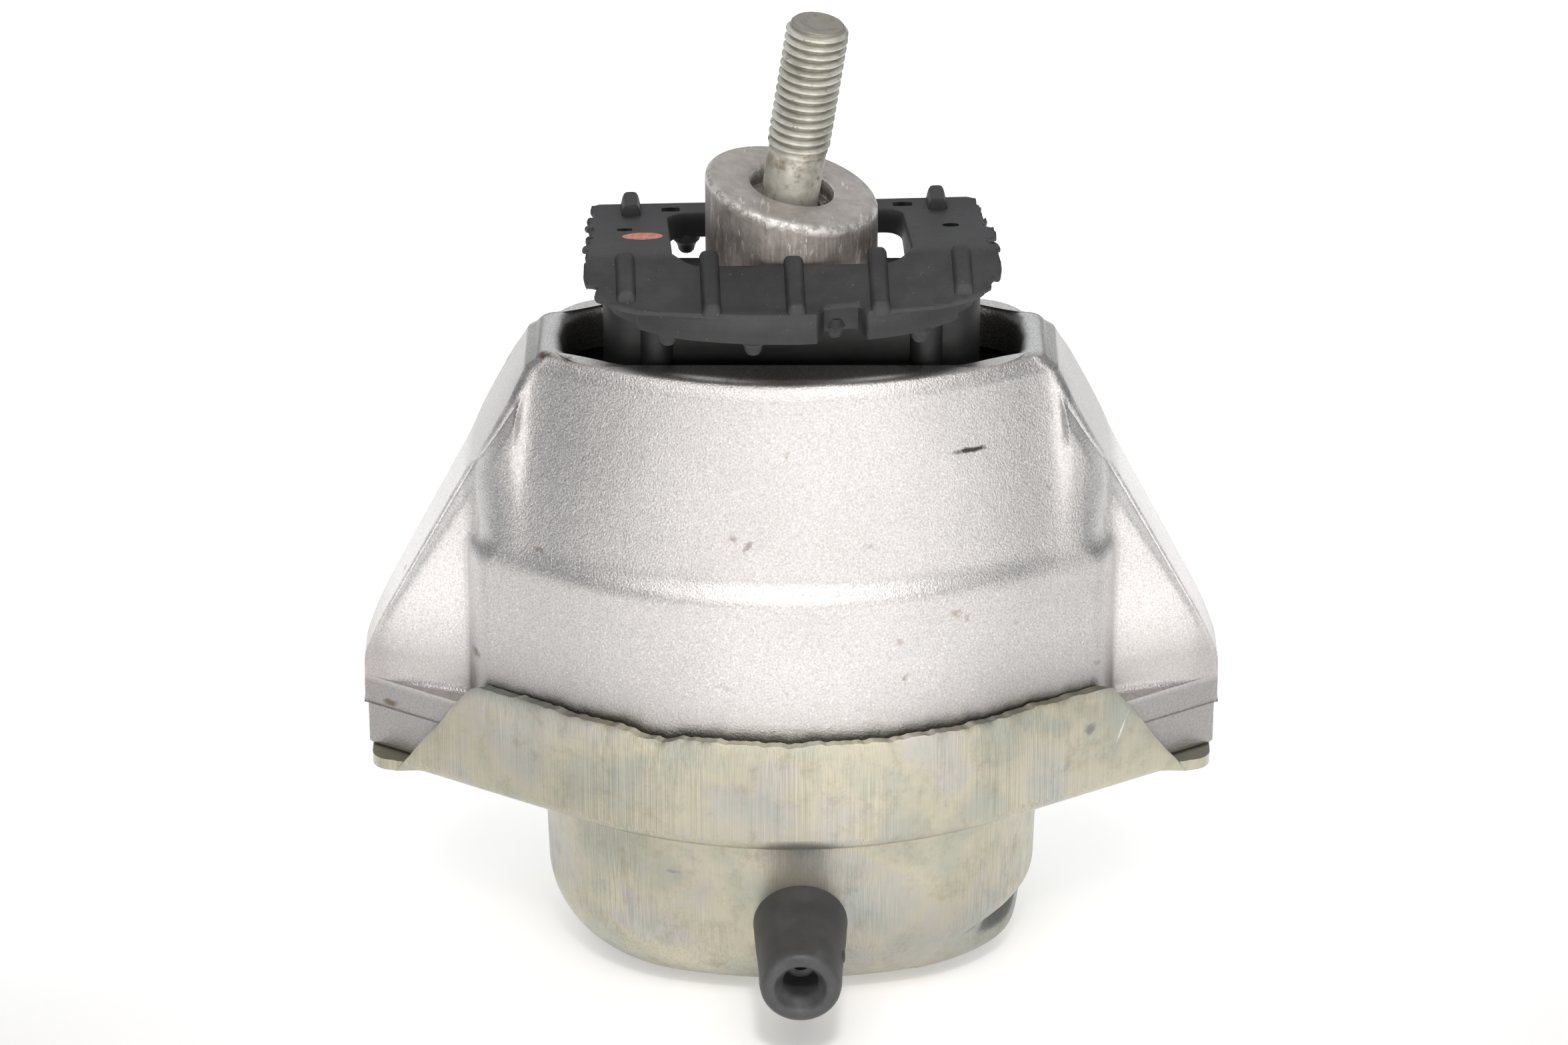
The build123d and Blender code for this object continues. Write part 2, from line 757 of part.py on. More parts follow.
def make_stop_buffer():
    """Rubber plate with crest, ribs above, nubs below, a front notch and the boss's hole."""
    thick = buffer_thickness
    arm_face = arm_half_depth + cover_thickness
    front_under = buffer_top_at(buffer_front_depth) - thick
    section = [
        (-buffer_front_depth, front_under),
        (-buffer_front_depth, buffer_front_height),
        (-buffer_crest_depth, buffer_crest_height),
        (buffer_rear_crease_depth, buffer_rear_height + 0.2),
        (buffer_rear_depth, buffer_rear_height),
        (buffer_rear_depth, buffer_rear_height - thick),
        (arm_face, cover_top),
        (-arm_face, cover_top),
        (-buffer_crest_depth, buffer_crest_height - thick),
        (-buffer_front_depth + buffer_skirt, front_under),
    ]
    plate = depth_profile(section, -buffer_half_width, buffer_half_width)
    front_bow = Pos(0, buffer_front_radius - buffer_front_depth) * Circle(buffer_front_radius)
    plate &= prism(front_bow, 0, clear)
    ends = make_face(
        Polyline(
            (-buffer_half_width, -buffer_front_depth),
            (buffer_half_width, -buffer_front_depth),
            (buffer_half_width, 0),
            (buffer_rear_half_width, buffer_rear_depth),
            (-buffer_rear_half_width, buffer_rear_depth),
            (-buffer_half_width, 0),
            close=True,
        )
    )
    plate &= prism(ends, 0, clear)
    for place in range(-2, 3):
        x = place * rib_pitch
        rib_front = buffer_front_depth - rib_inset - abs(place) * rib_step
        rib = [
            (-rib_front, buffer_top_at(rib_front) - 0.5),
            (-rib_front, buffer_top_at(rib_front) + rib_rise),
            (-buffer_crest_depth - 1.0, buffer_top_at(buffer_crest_depth + 1.0) + 0.6),
            (-buffer_crest_depth + 0.6, buffer_crest_height - 0.4),
        ]
        plate += depth_profile(rib, x - rib_width / 2, x + rib_width / 2)
    for hand in (1, -1):
        x = hand * rear_rib_offset
        rib = [
            (buffer_rear_crease_depth, buffer_rear_height - 0.5),
            (buffer_rear_crease_depth, buffer_rear_height + rear_rib_rise),
            (buffer_rear_depth - rib_inset, buffer_rear_height + rear_rib_rise - 0.4),
            (buffer_rear_depth, buffer_rear_height - 0.5),
        ]
        plate += depth_profile(rib, x - rib_width / 2, x + rib_width / 2)
    nub_row = -buffer_front_depth + nub_inset
    nub_rows = [(-1.5, nub_row), (-0.5, nub_row), (0.5, nub_row + 2.0), (1.5, nub_row)]
    nub = Cylinder(nub_width / 2, nub_drop + 2.0, align=(Align.CENTER, Align.CENTER, Align.MIN))
    for place, y in nub_rows:
        plate += Pos(place * rib_pitch, y, front_under - nub_drop) * nub
    plate += Pos(-rear_nub_offset, buffer_rear_depth - nub_inset, front_under - nub_drop) * nub
    half_hole = boss_diameter / 2 + buffer_hole_clearance
    hole = RectangleRounded(2 * buffer_hole_half_width, 2 * half_hole, buffer_hole_radius)
    plate -= prism(hole, 0, clear)
    notch = Pos(notch_offset, -buffer_front_depth + notch_length / 2 - 2.0) * RectangleRounded(
        notch_width, notch_length + 4.0, notch_corner_radius
    )
    plate -= prism(notch, 0, clear)
    return buffer_frame() * plate


def sleeve_axis():
    """Axis of the pipe and sleeve: from the cup's wall towards the front."""
    return Plane(origin=(nipple_offset, 0, nipple_height), x_dir=(1, 0, 0), z_dir=(0, -1, 0))


def wall_face_depth():
    """Outer face of the cup's wall at the pipe's height."""
    return cup_half_depth - (cup_height - nipple_height) * tan(radians(cup_draft))


def make_vacuum_nipple():
    """Steel pipe pressed through the cup's wall."""
    start = wall_face_depth() - sheet
    pipe = Pos(0, 0, start) * Cylinder(
        nipple_outer / 2, sheet + nipple_reach, align=(Align.CENTER, Align.CENTER, Align.MIN)
    )
    pipe -= Cylinder(nipple_inner / 2, clear)
    return sleeve_axis() * pipe


def make_vacuum_sleeve():
    """Tapered rubber sleeve over the pipe, with a rounded rim and a funnel mouth."""
    root = wall_face_depth()
    start = root - 4.0
    root_radius = sleeve_root_diameter / 2
    end_radius = sleeve_end_diameter / 2
    end = root + sleeve_reach
    cone = loft(
        [Plane((0, 0, start)) * Circle(root_radius), Plane((0, 0, end)) * Circle(end_radius)]
    )
    cone = fillet(cone.faces().sort_by(Axis.Z)[-1].edges(), sleeve_rim_radius)
    cone -= Cylinder(nipple_outer / 2, clear)
    cone -= Pos(0, 0, root + nipple_reach) * Cylinder(
        sleeve_socket_diameter / 2, sleeve_reach, align=(Align.CENTER, Align.CENTER, Align.MIN)
    )
    cone -= Pos(0, 0, end - sleeve_funnel) * Cone(
        sleeve_socket_diameter / 2,
        sleeve_mouth_diameter / 2,
        sleeve_funnel,
        align=(Align.CENTER, Align.CENTER, Align.MIN),
    )
    sleeve = sleeve_axis() * cone - cup_solid(0, cup_height, 0)
    return sleeve.solids().sort_by(SortBy.VOLUME)[-1]


def write_part(name, shape):
    shape.label = name
    export_step(shape, f"parts/{name}.step")


os.makedirs("parts", exist_ok=True)
write_part("base_cup", make_base_cup())
write_part("housing", make_housing())
write_part("core", make_core())
write_part("stud", make_stud())
write_part("support_ring", make_support_ring())
write_part("load_spring", make_load_spring())
write_part("lower_channel_plate", make_lower_plate())
write_part("upper_channel_plate", make_upper_plate())
write_part("upper_seal_ring", make_seal_ring())
write_part("decoupler_membrane", make_membrane())
for number, (rivet_x, rivet_y) in enumerate(rivet_places(), start=1):
    write_part(f"plate_rivet_{number}", make_rivet(rivet_x, rivet_y))
write_part("bellows", make_bellows())
write_part("bellows_disc", make_bellows_disc())
write_part("return_spring", make_return_spring())
write_part("stop_buffer", make_stop_buffer())
write_part("vacuum_nipple", make_vacuum_nipple())
write_part("vacuum_sleeve", make_vacuum_sleeve())
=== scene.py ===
"""Looks of a vacuum-switched hydraulic engine mount, piece by piece in the order it is built.

Sizes are in millimetres and become metres where a mesh is made. +Z is up, the lugs lie along X,
the vacuum sleeve points towards -Y, and the origin is the middle of the cup's flat bottom.
"""

import bmesh
import bpy
import numpy as np
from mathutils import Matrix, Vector


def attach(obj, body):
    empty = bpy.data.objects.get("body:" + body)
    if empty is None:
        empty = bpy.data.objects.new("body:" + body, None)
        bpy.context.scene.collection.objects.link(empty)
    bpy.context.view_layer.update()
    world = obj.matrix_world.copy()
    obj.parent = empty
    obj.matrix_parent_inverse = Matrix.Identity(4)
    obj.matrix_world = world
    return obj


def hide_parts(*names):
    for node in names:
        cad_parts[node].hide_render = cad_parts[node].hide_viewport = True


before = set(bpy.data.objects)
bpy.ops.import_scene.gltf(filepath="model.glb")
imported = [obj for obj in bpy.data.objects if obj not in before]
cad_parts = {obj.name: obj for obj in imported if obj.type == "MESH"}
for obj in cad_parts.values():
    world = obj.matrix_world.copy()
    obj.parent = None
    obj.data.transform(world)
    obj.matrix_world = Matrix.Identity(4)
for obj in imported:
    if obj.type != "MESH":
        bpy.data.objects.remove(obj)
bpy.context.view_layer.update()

# Base cup: one drawn and folded steel sheet, dull olive from its passivated zinc. The cup holds
# the vacuum chamber, the flange carries two flat ears, and the front and rear of the flange are
# folded up against the bell, with slanted ends and a slightly uneven sheared edge.

sheet = 2.0
cup_half_width, cup_half_depth = 41.2, 30.2
cup_face_radius, cup_corner_radius = 77.0, 28.0
cup_height, cup_bottom_radius, cup_shoulder = 34.2, 15.0, 2.0
cup_floor_inset, cup_taper, cup_wall_run = 0.9, 0.5, 19.0
flange_half_length, flange_half_depth = 69.5, 35.5
flange_face_radius, flange_corner, flank_angle = 70.0, 3.5, 29.5
fold_radius = 3.2
wall_top, wall_top_half_length, wall_half_length = 55.7, 52.4, 65.0
wall_end_height, wall_corner = 1.0, 1.6
shear_depth, torn_step_depth, wall_press = 0.26, 1.0, 0.35
ear_hole_place, ear_hole_radius = 59.0, 5.5
knocks = ((4.4, -11.0, 9.8, 1.8), (-2.0, -13.0, 4.4, 2.4))
knock_width = 9.0
sharp_angle = np.radians(38)


def smooth_step(low, high, value):
    """0 below low, 1 above high, and a cubic ease between them."""
    part = np.clip((value - low) / (high - low), 0.0, 1.0)
    return part * part * (3.0 - 2.0 * part)


def smooth_max(first, second, width):
    """The larger of two values, with the corner where they cross rounded over a width."""
    return 0.5 * (first + second + np.sqrt((first - second) ** 2 + width**2))


def smooth_min(first, second, width):
    """The smaller of two values, with the corner where they cross rounded over a width."""
    return 0.5 * (first + second - np.sqrt((first - second) ** 2 + width**2))


def ripple(place, seed, waves):
    """Sum of sines with set wavelengths and seeded phases and strengths, about -1 to 1."""
    dice = np.random.default_rng(seed)
    total = np.zeros_like(place, dtype=float)
    for length in waves:
        phase, weight = dice.uniform(0, 2 * np.pi), dice.uniform(0.6, 1.0)
        total += weight * np.sin(2 * np.pi * place / length + phase)
    return total / np.sqrt(len(waves))


def mirror_quarter(x, y):
    """Closed outline from the quarter between the +X and +Y axes, anticlockwise."""
    across = np.concatenate([x, -x[-2::-1]])
    up = np.concatenate([y, y[-2::-1]])
    return np.stack([np.concatenate([across, across[-2:0:-1]]), np.concatenate([up, -up[-2:0:-1]])], 1)


def bowed_outline(half_width, half_depth, face, corner):
    """A quarter goes from the side's middle over the corner arc to the face arc; mirrored twice."""
    corner_x = half_width - corner
    corner_y = np.sqrt((face - corner) ** 2 - corner_x**2) - (face - half_depth)
    turn = np.arcsin(corner_x / (face - corner))
    around = np.linspace(0.0, np.pi / 2 - turn, 40)
    x = np.concatenate([[half_width], corner_x + corner * np.cos(around)])
    y = np.concatenate([[0.0], corner_y + corner * np.sin(around)])
    over = np.linspace(turn, 0.0, 40)[1:]
    x = np.concatenate([x, face * np.sin(over)])
    y = np.concatenate([y, face * np.cos(over) - (face - half_depth)])
    return mirror_quarter(x, y)


def flank_depth(x, half_depth, face, angle):
    """Half depth at x: an arc through the middle, then a straight flank tangent to it."""
    turn = np.radians(angle)
    edge = face * np.sin(turn)
    arc = half_depth - face + np.sqrt(np.maximum(face**2 - np.minimum(x, edge) ** 2, 0.0))
    return arc - np.maximum(x - edge, 0.0) * np.tan(turn)


def flange_outline(inset):
    """Flange outline moved inwards: bowed faces, straight flanks and ends with round corners."""
    end, radius = flange_half_length - inset, max(flange_corner - inset, 0.3)
    x = np.concatenate([np.linspace(end - radius, 30.0, 60), np.linspace(29.0, 0.0, 40)])
    y = flank_depth(x, flange_half_depth - inset, flange_face_radius - inset, flank_angle)
    turn = np.linspace(0.0, 1.0, 12)[:-1] * np.pi / 2
    rise = radius * 0.9
    corner_x = end - radius * (1 - np.cos(turn))
    corner_y = y[0] - rise + rise * np.sin(turn)
    return mirror_quarter(np.concatenate([[end], corner_x, x]), np.concatenate([[0.0], corner_y, y]))


def reach(outline, angle):
    """Distance from the middle to a star-shaped outline in each direction."""
    share = np.linspace(0.0, 1.0, 8, endpoint=False)[None, :, None]
    outline = outline[:, None] + share * (np.roll(outline, -1, axis=0) - outline)[:, None]
    outline = outline.reshape(-1, 2)
    turn = np.arctan2(outline[:, 1], outline[:, 0])
    order = np.argsort(turn)
    turn, far = turn[order], np.hypot(outline[:, 0], outline[:, 1])[order]
    turn = np.concatenate([turn - 2 * np.pi, turn, turn + 2 * np.pi])
    return np.interp(angle, turn, np.tile(far, 3))


def put(name, data):
    """New object in the scene for a mesh, a light or a camera."""
    made = bpy.data.objects.new(name, data)
    bpy.context.scene.collection.objects.link(made)
    return made


def skin(name, rings, start_point=None, end_point=None, joined=False):
    """Surface through a stack of closed rings, given as rings x points x 3, in millimetres.

    The first and last ring close to a point each, or on each other when joined is true.
    """
    count, size = rings.shape[:2]
    points = rings.reshape(-1, 3)
    index = np.arange(count * size).reshape(count, size)
    after = np.roll(index, -1, axis=1)
    rows = np.arange(count if joined else count - 1)
    following = (rows + 1) % count
    faces = np.stack([index[rows], after[rows], after[following], index[following]], -1)
    faces = faces.reshape(-1, 4).tolist()
    for point, ring in ((start_point, 0), (end_point, count - 1)):
        if point is not None:
            middle = np.full(size, len(points))
            points = np.vstack([points, [point]])
            faces += np.stack([index[ring], after[ring], middle], -1).tolist()
    mesh = bpy.data.meshes.new(name)
    mesh.from_pydata((points * 0.001).tolist(), [], faces)
    work = bmesh.new()
    work.from_mesh(mesh)
    bmesh.ops.remove_doubles(work, verts=work.verts, dist=1e-7)
    bmesh.ops.recalc_face_normals(work, faces=work.faces)
    work.to_mesh(mesh)
    work.free()
    mesh.shade_smooth()
    mesh.set_sharp_from_angle(angle=sharp_angle)
    return put(name, mesh)


def fuse(name, pieces):
    """One object that holds the meshes of several."""
    work = bmesh.new()
    for piece in pieces:
        work.from_mesh(piece.data)
        bpy.data.objects.remove(piece)
    mesh = bpy.data.meshes.new(name)
    work.to_mesh(mesh)
    work.free()
    return put(name, mesh)


def lift(flat, height):
    """Points in plan raised to a height, one for all of them or one each."""
    return np.column_stack([flat, np.broadcast_to(height, len(flat))])


def round_ring(centre, radius, count):
    """Level circle of points about a centre."""
    turn = np.linspace(0, 2 * np.pi, count, endpoint=False)
    flat = np.stack([radius * np.cos(turn), radius * np.sin(turn)], 1)
    return lift(flat, 0.0) + np.asarray(centre, float)


def peg(name, x, y, radius, heights, count, tip=0.0):
    """Upright round bar through some heights, with its top drawn up to a point by a tip."""
    rings = np.stack([round_ring((x, y, z), radius, count) for z in heights])
    return skin(name, rings, (x, y, heights[0]), (x, y, heights[-1] + tip))


def drill(piece, cutters):
    """Cuts closed shapes out of a piece, for holes that its own surface can't follow."""
    for number, cutter in enumerate(cutters):
        cut = piece.modifiers.new(f"hole_{number}", "BOOLEAN")
        cut.object, cut.operation, cut.solver = cutter, "DIFFERENCE", "EXACT"
    graph = bpy.context.evaluated_depsgraph_get()
    mesh = bpy.data.meshes.new_from_object(piece.evaluated_get(graph))
    piece.modifiers.clear()
    piece.data = mesh
    mesh.set_sharp_from_angle(angle=sharp_angle)
    for cutter in cutters:
        bpy.data.objects.remove(cutter)


ends = np.radians(np.arange(-10, 10, 0.25))
sides = np.radians(np.arange(10, 170, 1.0))
around = np.concatenate([ends, sides, ends + np.pi, sides + np.pi])
ray = np.stack([np.cos(around), np.sin(around)], 1)
edge_reach = reach(flange_outline(0.0), around)
edge_x, edge_y = (ray * edge_reach[:, None]).T

slant = (np.abs(edge_x) - wall_top_half_length) / (wall_half_length - wall_top_half_length)
edge_height = wall_top - np.maximum(slant, 0.0) * (wall_top - cup_height - wall_end_height)
edge_height = smooth_min(edge_height, wall_top, wall_corner)
rear_shift = 200 * (edge_y > 0)
shear = ripple(edge_x + rear_shift, 4, (2.1, 3.3, 5.4, 9.0, 17.0))
edge_height = edge_height + shear_depth * shear * smooth_step(66.0, 56.0, np.abs(edge_x))
torn_step = smooth_step(-27.0, -24.5, edge_x) * smooth_step(-17.5, -22.0, edge_x)
edge_height = edge_height - torn_step_depth * torn_step * (edge_y < 0)
edge_height = np.maximum(edge_height, cup_height + 0.01)
folded = smooth_step(cup_height + 0.3, cup_height + 4.0, edge_height)


def cup_reach(grow):
    """Distance to the cup's outline, moved outwards: two face arcs, four corners, short sides."""
    half_sizes = cup_half_width + grow, cup_half_depth + grow
    return reach(bowed_outline(*half_sizes, cup_face_radius + grow, cup_corner_radius + grow), around)


def ring_at(outline_reach, height):
    """Ring along the directions around the cup, at a reach and height for each direction."""
    return lift(ray * outline_reach[:, None], height)


def bottom_ring(turn, radius, inset=0.0):
    """Ring on the bend between the cup's bottom and its wall, at an angle up the bend."""
    grow = -radius * (1 - np.sin(turn)) - cup_taper - inset
    return ring_at(cup_reach(grow), inset + radius * (1 - np.cos(turn)))


def wall_ring(height, inset=0.0):
    """Ring on the cup's wall, which widens a little towards the flange."""
    grow = -inset - cup_taper + cup_taper * (height - cup_bottom_radius) / cup_wall_run
    return ring_at(cup_reach(grow), height)


def cup_dent(ring):
    """Pushes a ring in where the cup was knocked, low on its right side, and out just below."""
    x, y, z = ring.T
    push = 0.0
    for deep, knock_y, knock_z, tall in knocks:
        push = push + deep * np.exp(-(((y - knock_y) / knock_width) ** 2) - ((z - knock_z) / tall) ** 2)
    ring[:, 0] = np.where(x > 20, x - push, x)
    return ring


rings = []
for share in (0.15, 0.5, 0.85):
    rings.append(ring_at(share * cup_reach(-cup_bottom_radius - cup_floor_inset), 0.0))
for turn in np.radians(np.linspace(0, 88, 34)):
    rings.append(bottom_ring(turn, cup_bottom_radius))
for height in np.linspace(15.5, cup_height - 2.2, 10):
    rings.append(wall_ring(height))
for turn in np.radians(np.linspace(15, 90, 6)):
    height = cup_height - cup_shoulder + cup_shoulder * np.sin(turn)
    rings.append(ring_at(cup_reach(cup_shoulder * (1 - np.cos(turn))), height))
bend_start = reach(flange_outline(fold_radius), around)
flange_middle = 0.5 * (cup_reach(cup_shoulder) + bend_start)
rings.append(ring_at(flange_middle, cup_height))
for turn in np.radians(np.linspace(0, 90, 8)):
    out = bend_start + (edge_reach - bend_start) * np.sin(turn)
    rings.append(ring_at(out, cup_height + folded * fold_radius * (1 - np.cos(turn))))
wall_low = cup_height + folded * fold_radius
press = wall_press * folded * (1.0 + 0.6 * ripple(edge_x, 9, (4.0, 7.0, 13.0, 29.0)))
for share in (0.25, 0.5, 0.75, 0.9, 0.97):
    rings.append(ring_at(edge_reach - press * share**4, wall_low + share * (edge_height - wall_low)))
back = edge_reach + folded * (reach(flange_outline(sheet), around) - edge_reach)
rings.append(ring_at(edge_reach - press - 0.15 * folded, edge_height))
rings.append(ring_at(back - press * 0.4 + 0.3 * folded, edge_height))
inner_low = cup_height + sheet
top_inside = np.maximum(edge_height, inner_low)
for share in (0.97, 0.8, 0.5, 0.2):
    rings.append(ring_at(back - 0.05 * share**4, inner_low + share * (top_inside - inner_low)))
for outline_reach in (back - 0.2, flange_middle, cup_reach(-sheet + 0.6)):
    rings.append(ring_at(outline_reach, inner_low))
for height in np.linspace(cup_height, 15.5, 5):
    rings.append(wall_ring(height, sheet))
for turn in np.radians(np.linspace(88, 0, 8)):
    rings.append(bottom_ring(turn, cup_bottom_radius - sheet, sheet))
rings = np.stack([cup_dent(ring) for ring in rings])
base_cup = skin("base_cup_drawn", rings, start_point=(0, 0, 0), end_point=(0, 0, sheet))
holes = []
for side in (-1, 1):
    holes.append(peg("ear_hole", side * ear_hole_place, 0, ear_hole_radius, (30, 40), 64))
drill(base_cup, holes)


def node(tree, kind, values=None, **settings):
    """Adds a shader node, sets its settings, then its sockets: a number, a colour or a link."""
    made = tree.nodes.new(kind)
    for name, value in settings.items():
        setattr(made, name, value)
    for name, value in (values or {}).items():
        if isinstance(value, bpy.types.NodeSocket):
            tree.links.new(value, made.inputs[name])
        else:
            made.inputs[name].default_value = value
    return made


def finish(name, metallic, roughness):
    """Material with its shader; returns the material, its node tree and the shader."""
    made = bpy.data.materials.new(name)
    made.use_nodes = True
    shader = made.node_tree.nodes["Principled BSDF"]
    shader.inputs["Metallic"].default_value = metallic
    shader.inputs["Roughness"].default_value = roughness
    return made, made.node_tree, shader


def dress(tree, shader, tint, height, depth_mm, strength, rough=None):
    """Gives the shader its colour, a bump of a stated depth and, where there is one, uneven gloss."""
    values = {"Height": height, "Distance": depth_mm * 0.001, "Strength": strength}
    tree.links.new(tint, shader.inputs["Base Color"])
    tree.links.new(node(tree, "ShaderNodeBump", values).outputs["Normal"], shader.inputs["Normal"])
    if rough is not None:
        tree.links.new(rough, shader.inputs["Roughness"])


def on_object(tree):
    """Place on the object, in metres."""
    return node(tree, "ShaderNodeTexCoord").outputs["Object"]


def speckle(tree, scale, detail=2.0, stretch=(1, 1, 1), rough=0.5, offset=(0, 0, 0)):
    """Noise on the object; scale counts cells per metre and stretch squeezes them."""
    values = {"Vector": on_object(tree), "Scale": stretch, "Location": offset}
    turned = node(tree, "ShaderNodeMapping", values)
    values = {"Vector": turned.outputs["Vector"], "Scale": scale, "Detail": detail, "Roughness": rough}
    return node(tree, "ShaderNodeTexNoise", values).outputs["Fac"]


def ramp(tree, value, *stops):
    """Colour ramp over a value; stops are (place, colour), and a colour may be one grey level."""
    made = node(tree, "ShaderNodeValToRGB", {"Fac": value})
    points = made.color_ramp.elements
    while len(points) < len(stops):
        points.new(0.5)
    for point, (place, colour) in zip(points, stops):
        point.position = place
        point.color = (*colour, 1.0) if isinstance(colour, tuple) else (colour, colour, colour, 1.0)
    return made.outputs["Color"]


def blend(tree, amount, first, second, mode="MIX"):
    """Mixes two colours, each a link or an (r, g, b)."""
    made = node(tree, "ShaderNodeMix", data_type="RGBA", blend_type=mode)
    for socket, value in ((0, amount), (6, first), (7, second)):
        if isinstance(value, bpy.types.NodeSocket):
            tree.links.new(value, made.inputs[socket])
        elif isinstance(value, tuple):
            made.inputs[socket].default_value = (*value, 1.0)
        else:
            made.inputs[socket].default_value = value
    return made.outputs[2]


def shade(tree, tint, factor, amount=1.0):
    """Multiplies a colour by another, wholly or in part."""
    return blend(tree, amount, tint, factor, "MULTIPLY")


def maths(tree, way, first, second=0.0):
    """Arithmetic on two values, each a link or a number."""
    return node(tree, "ShaderNodeMath", {0: first, 1: second}, operation=way).outputs[0]


def times(tree, first, second):
    """Product of two values, each a link or a number."""
    return maths(tree, "MULTIPLY", first, second)


def span(tree, value, low, high):
    """0 where a value is at low or beyond, 1 where it is at high or beyond, straight between."""
    values = {"Value": value, "From Min": low, "From Max": high}
    return node(tree, "ShaderNodeMapRange", values).outputs[0]


def height_mask(tree, low, high):
    """0 below one height on the object and 1 above another, in millimetres."""
    parts = node(tree, "ShaderNodeSeparateXYZ", {"Vector": on_object(tree)})
    return span(tree, parts.outputs["Z"], low * 0.001, high * 0.001)


def patch(tree, centre, size, turn=0.0, edge=0.4, wobble=1.6):
    """1 inside an uneven ellipsoid on the object, 0 outside; centre and half sizes in millimetres."""
    values = {
        "Vector": on_object(tree),
        "Location": tuple(0.001 * value for value in centre),
        "Rotation": (0.0, turn, 0.0),
        "Scale": tuple(0.001 * value for value in size),
    }
    local = node(tree, "ShaderNodeMapping", values, vector_type="TEXTURE")
    far = node(tree, "ShaderNodeVectorMath", {0: local.outputs["Vector"]}, operation="LENGTH")
    uneven = times(tree, maths(tree, "SUBTRACT", speckle(tree, 1100, 3), 0.5), wobble)
    return span(tree, maths(tree, "ADD", far.outputs["Value"], uneven), 1.0 + edge, 1.0 - edge)


def stained(tree, tint, marks):
    """A colour with uneven patches of others on it; marks are (centre, half sizes, turn, colour)."""
    for centre, size, turn, colour in marks:
        tint = blend(tree, patch(tree, centre, size, turn), tint, colour)
    return tint


cup_steel, tree, shader = finish("passivated_zinc_sheet", 0.85, 0.36)
tint = ramp(
    tree,
    speckle(tree, 42, 6, (1, 1, 1.1), 0.62),
    (0.32, (0.40, 0.44, 0.40)),
    (0.42, (0.46, 0.46, 0.38)),
    (0.50, (0.54, 0.51, 0.40)),
    (0.57, (0.50, 0.48, 0.43)),
    (0.68, (0.42, 0.45, 0.41)),
)
tint = shade(tree, tint, ramp(tree, speckle(tree, 26, 3, offset=(1, 1, 5)), (0.35, 0.84), (0.62, 1.04)))
drawn = speckle(tree, 5200, 2, (1, 1, 0.007), 0.6)
where_drawn = ramp(tree, speckle(tree, 60, 4, (1, 1, 0.5), offset=(6, 2, 2)), (0.38, 0.15), (0.62, 1.0))
tint = blend(tree, where_drawn, tint, shade(tree, tint, ramp(tree, drawn, (0.34, 0.80), (0.64, 1.12))))
grime = speckle(tree, 230, 6, (1, 1, 0.8), 0.78, (3, 1, 2))
tint = blend(tree, ramp(tree, grime, (0.52, 0.0), (0.72, 0.55)), tint, (0.30, 0.27, 0.20))
# Darker brown towards the cup's bottom, broken up by the grime noise.
darker_towards_bottom = maths(tree, "ADD", height_mask(tree, 16.0, 1.0), times(tree, grime, 0.5))
tint = blend(tree, ramp(tree, darker_towards_bottom, (0.75, 0.0), (1.0, 0.5)), tint, (0.27, 0.25, 0.19))
marks = (
    ((48.8, -17.9, 48.0), (0.8, 2.0, 1.0), 0.0, (0.26, 0.27, 0.26)),
    ((54.2, -15.5, 46.4), (0.14, 3.0, 2.3), 0.34, (0.75, 0.75, 0.70)),
    ((-19.4, -27.5, 26.4), (0.9, 2.0, 0.3), 0.0, (0.28, 0.28, 0.27)),
)
tint = stained(tree, tint, marks)
fine = maths(tree, "ADD", times(tree, drawn, 0.6), speckle(tree, 2200, 2))
dress(tree, shader, tint, fine, 0.03, 0.5, ramp(tree, grime, (0.35, 0.30), (0.65, 0.42)))
base_cup.data.materials.append(cup_steel)
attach(base_cup, "root")
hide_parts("base_cup")

# Vacuum sleeve and pipe: a short steel pipe pressed through the cup's wall, and the moulded
# rubber sleeve over it that takes the vacuum line. The sleeve tapers to a rounded, hollow end.

sleeve_x, sleeve_z = 1.5, 17.5
sleeve_root_radius, sleeve_end_radius, sleeve_lip = 7.6, 6.6, 1.5
sleeve_end = 49.06
sleeve_nub_y, sleeve_nub_z, sleeve_nub_length = -40.5, 18.3, 1.6


def sleeve_ring(radius, depth, wobble=0.0):
    """Ring about the sleeve's axis; depth counts towards the front, one value or one per point."""
    turn = np.linspace(0, 2 * np.pi, 96, endpoint=False)
    size = radius * (1 + wobble * np.cos(2 * turn + 0.6))
    x, z = sleeve_x + size * np.cos(turn), sleeve_z + size * np.sin(turn)
    return np.column_stack([x, -np.broadcast_to(depth, turn.shape), z])


root = sleeve_ring(sleeve_root_radius, 0.0)
face_radius = cup_face_radius - 0.4
face_depth = cup_half_depth - 0.45 - face_radius + np.sqrt(face_radius**2 - root[:, 0] ** 2)
corner_rise = np.maximum(cup_bottom_radius - root[:, 2], 0.0)
face_depth = face_depth - (cup_bottom_radius - np.sqrt(cup_bottom_radius**2 - corner_rise**2))
rings = []
for share, radius in ((-0.06, 7.3), (0.0, 7.75), (0.05, 7.62), (0.12, 7.6)):
    rings.append(sleeve_ring(radius, face_depth + share * (sleeve_end - face_depth)))
for share in np.linspace(0.2, 0.88, 10):
    radius = sleeve_root_radius + (sleeve_end_radius - sleeve_root_radius) * share
    radius += 0.10 * np.sin(share * 7.0)
    rings.append(sleeve_ring(radius, face_depth + share * (sleeve_end - face_depth), 0.006))
for turn in np.radians(np.linspace(0, 90, 7)):
    radius = sleeve_end_radius - sleeve_lip * (1 - np.cos(turn))
    rings.append(sleeve_ring(radius, sleeve_end - sleeve_lip + sleeve_lip * np.sin(turn)))
bore = ((4.5, 48.95), (4.2, 48.75), (3.9, 48.2), (3.4, 47.4), (2.95, 46.7), (2.85, 46.3), (2.85, 40.9))
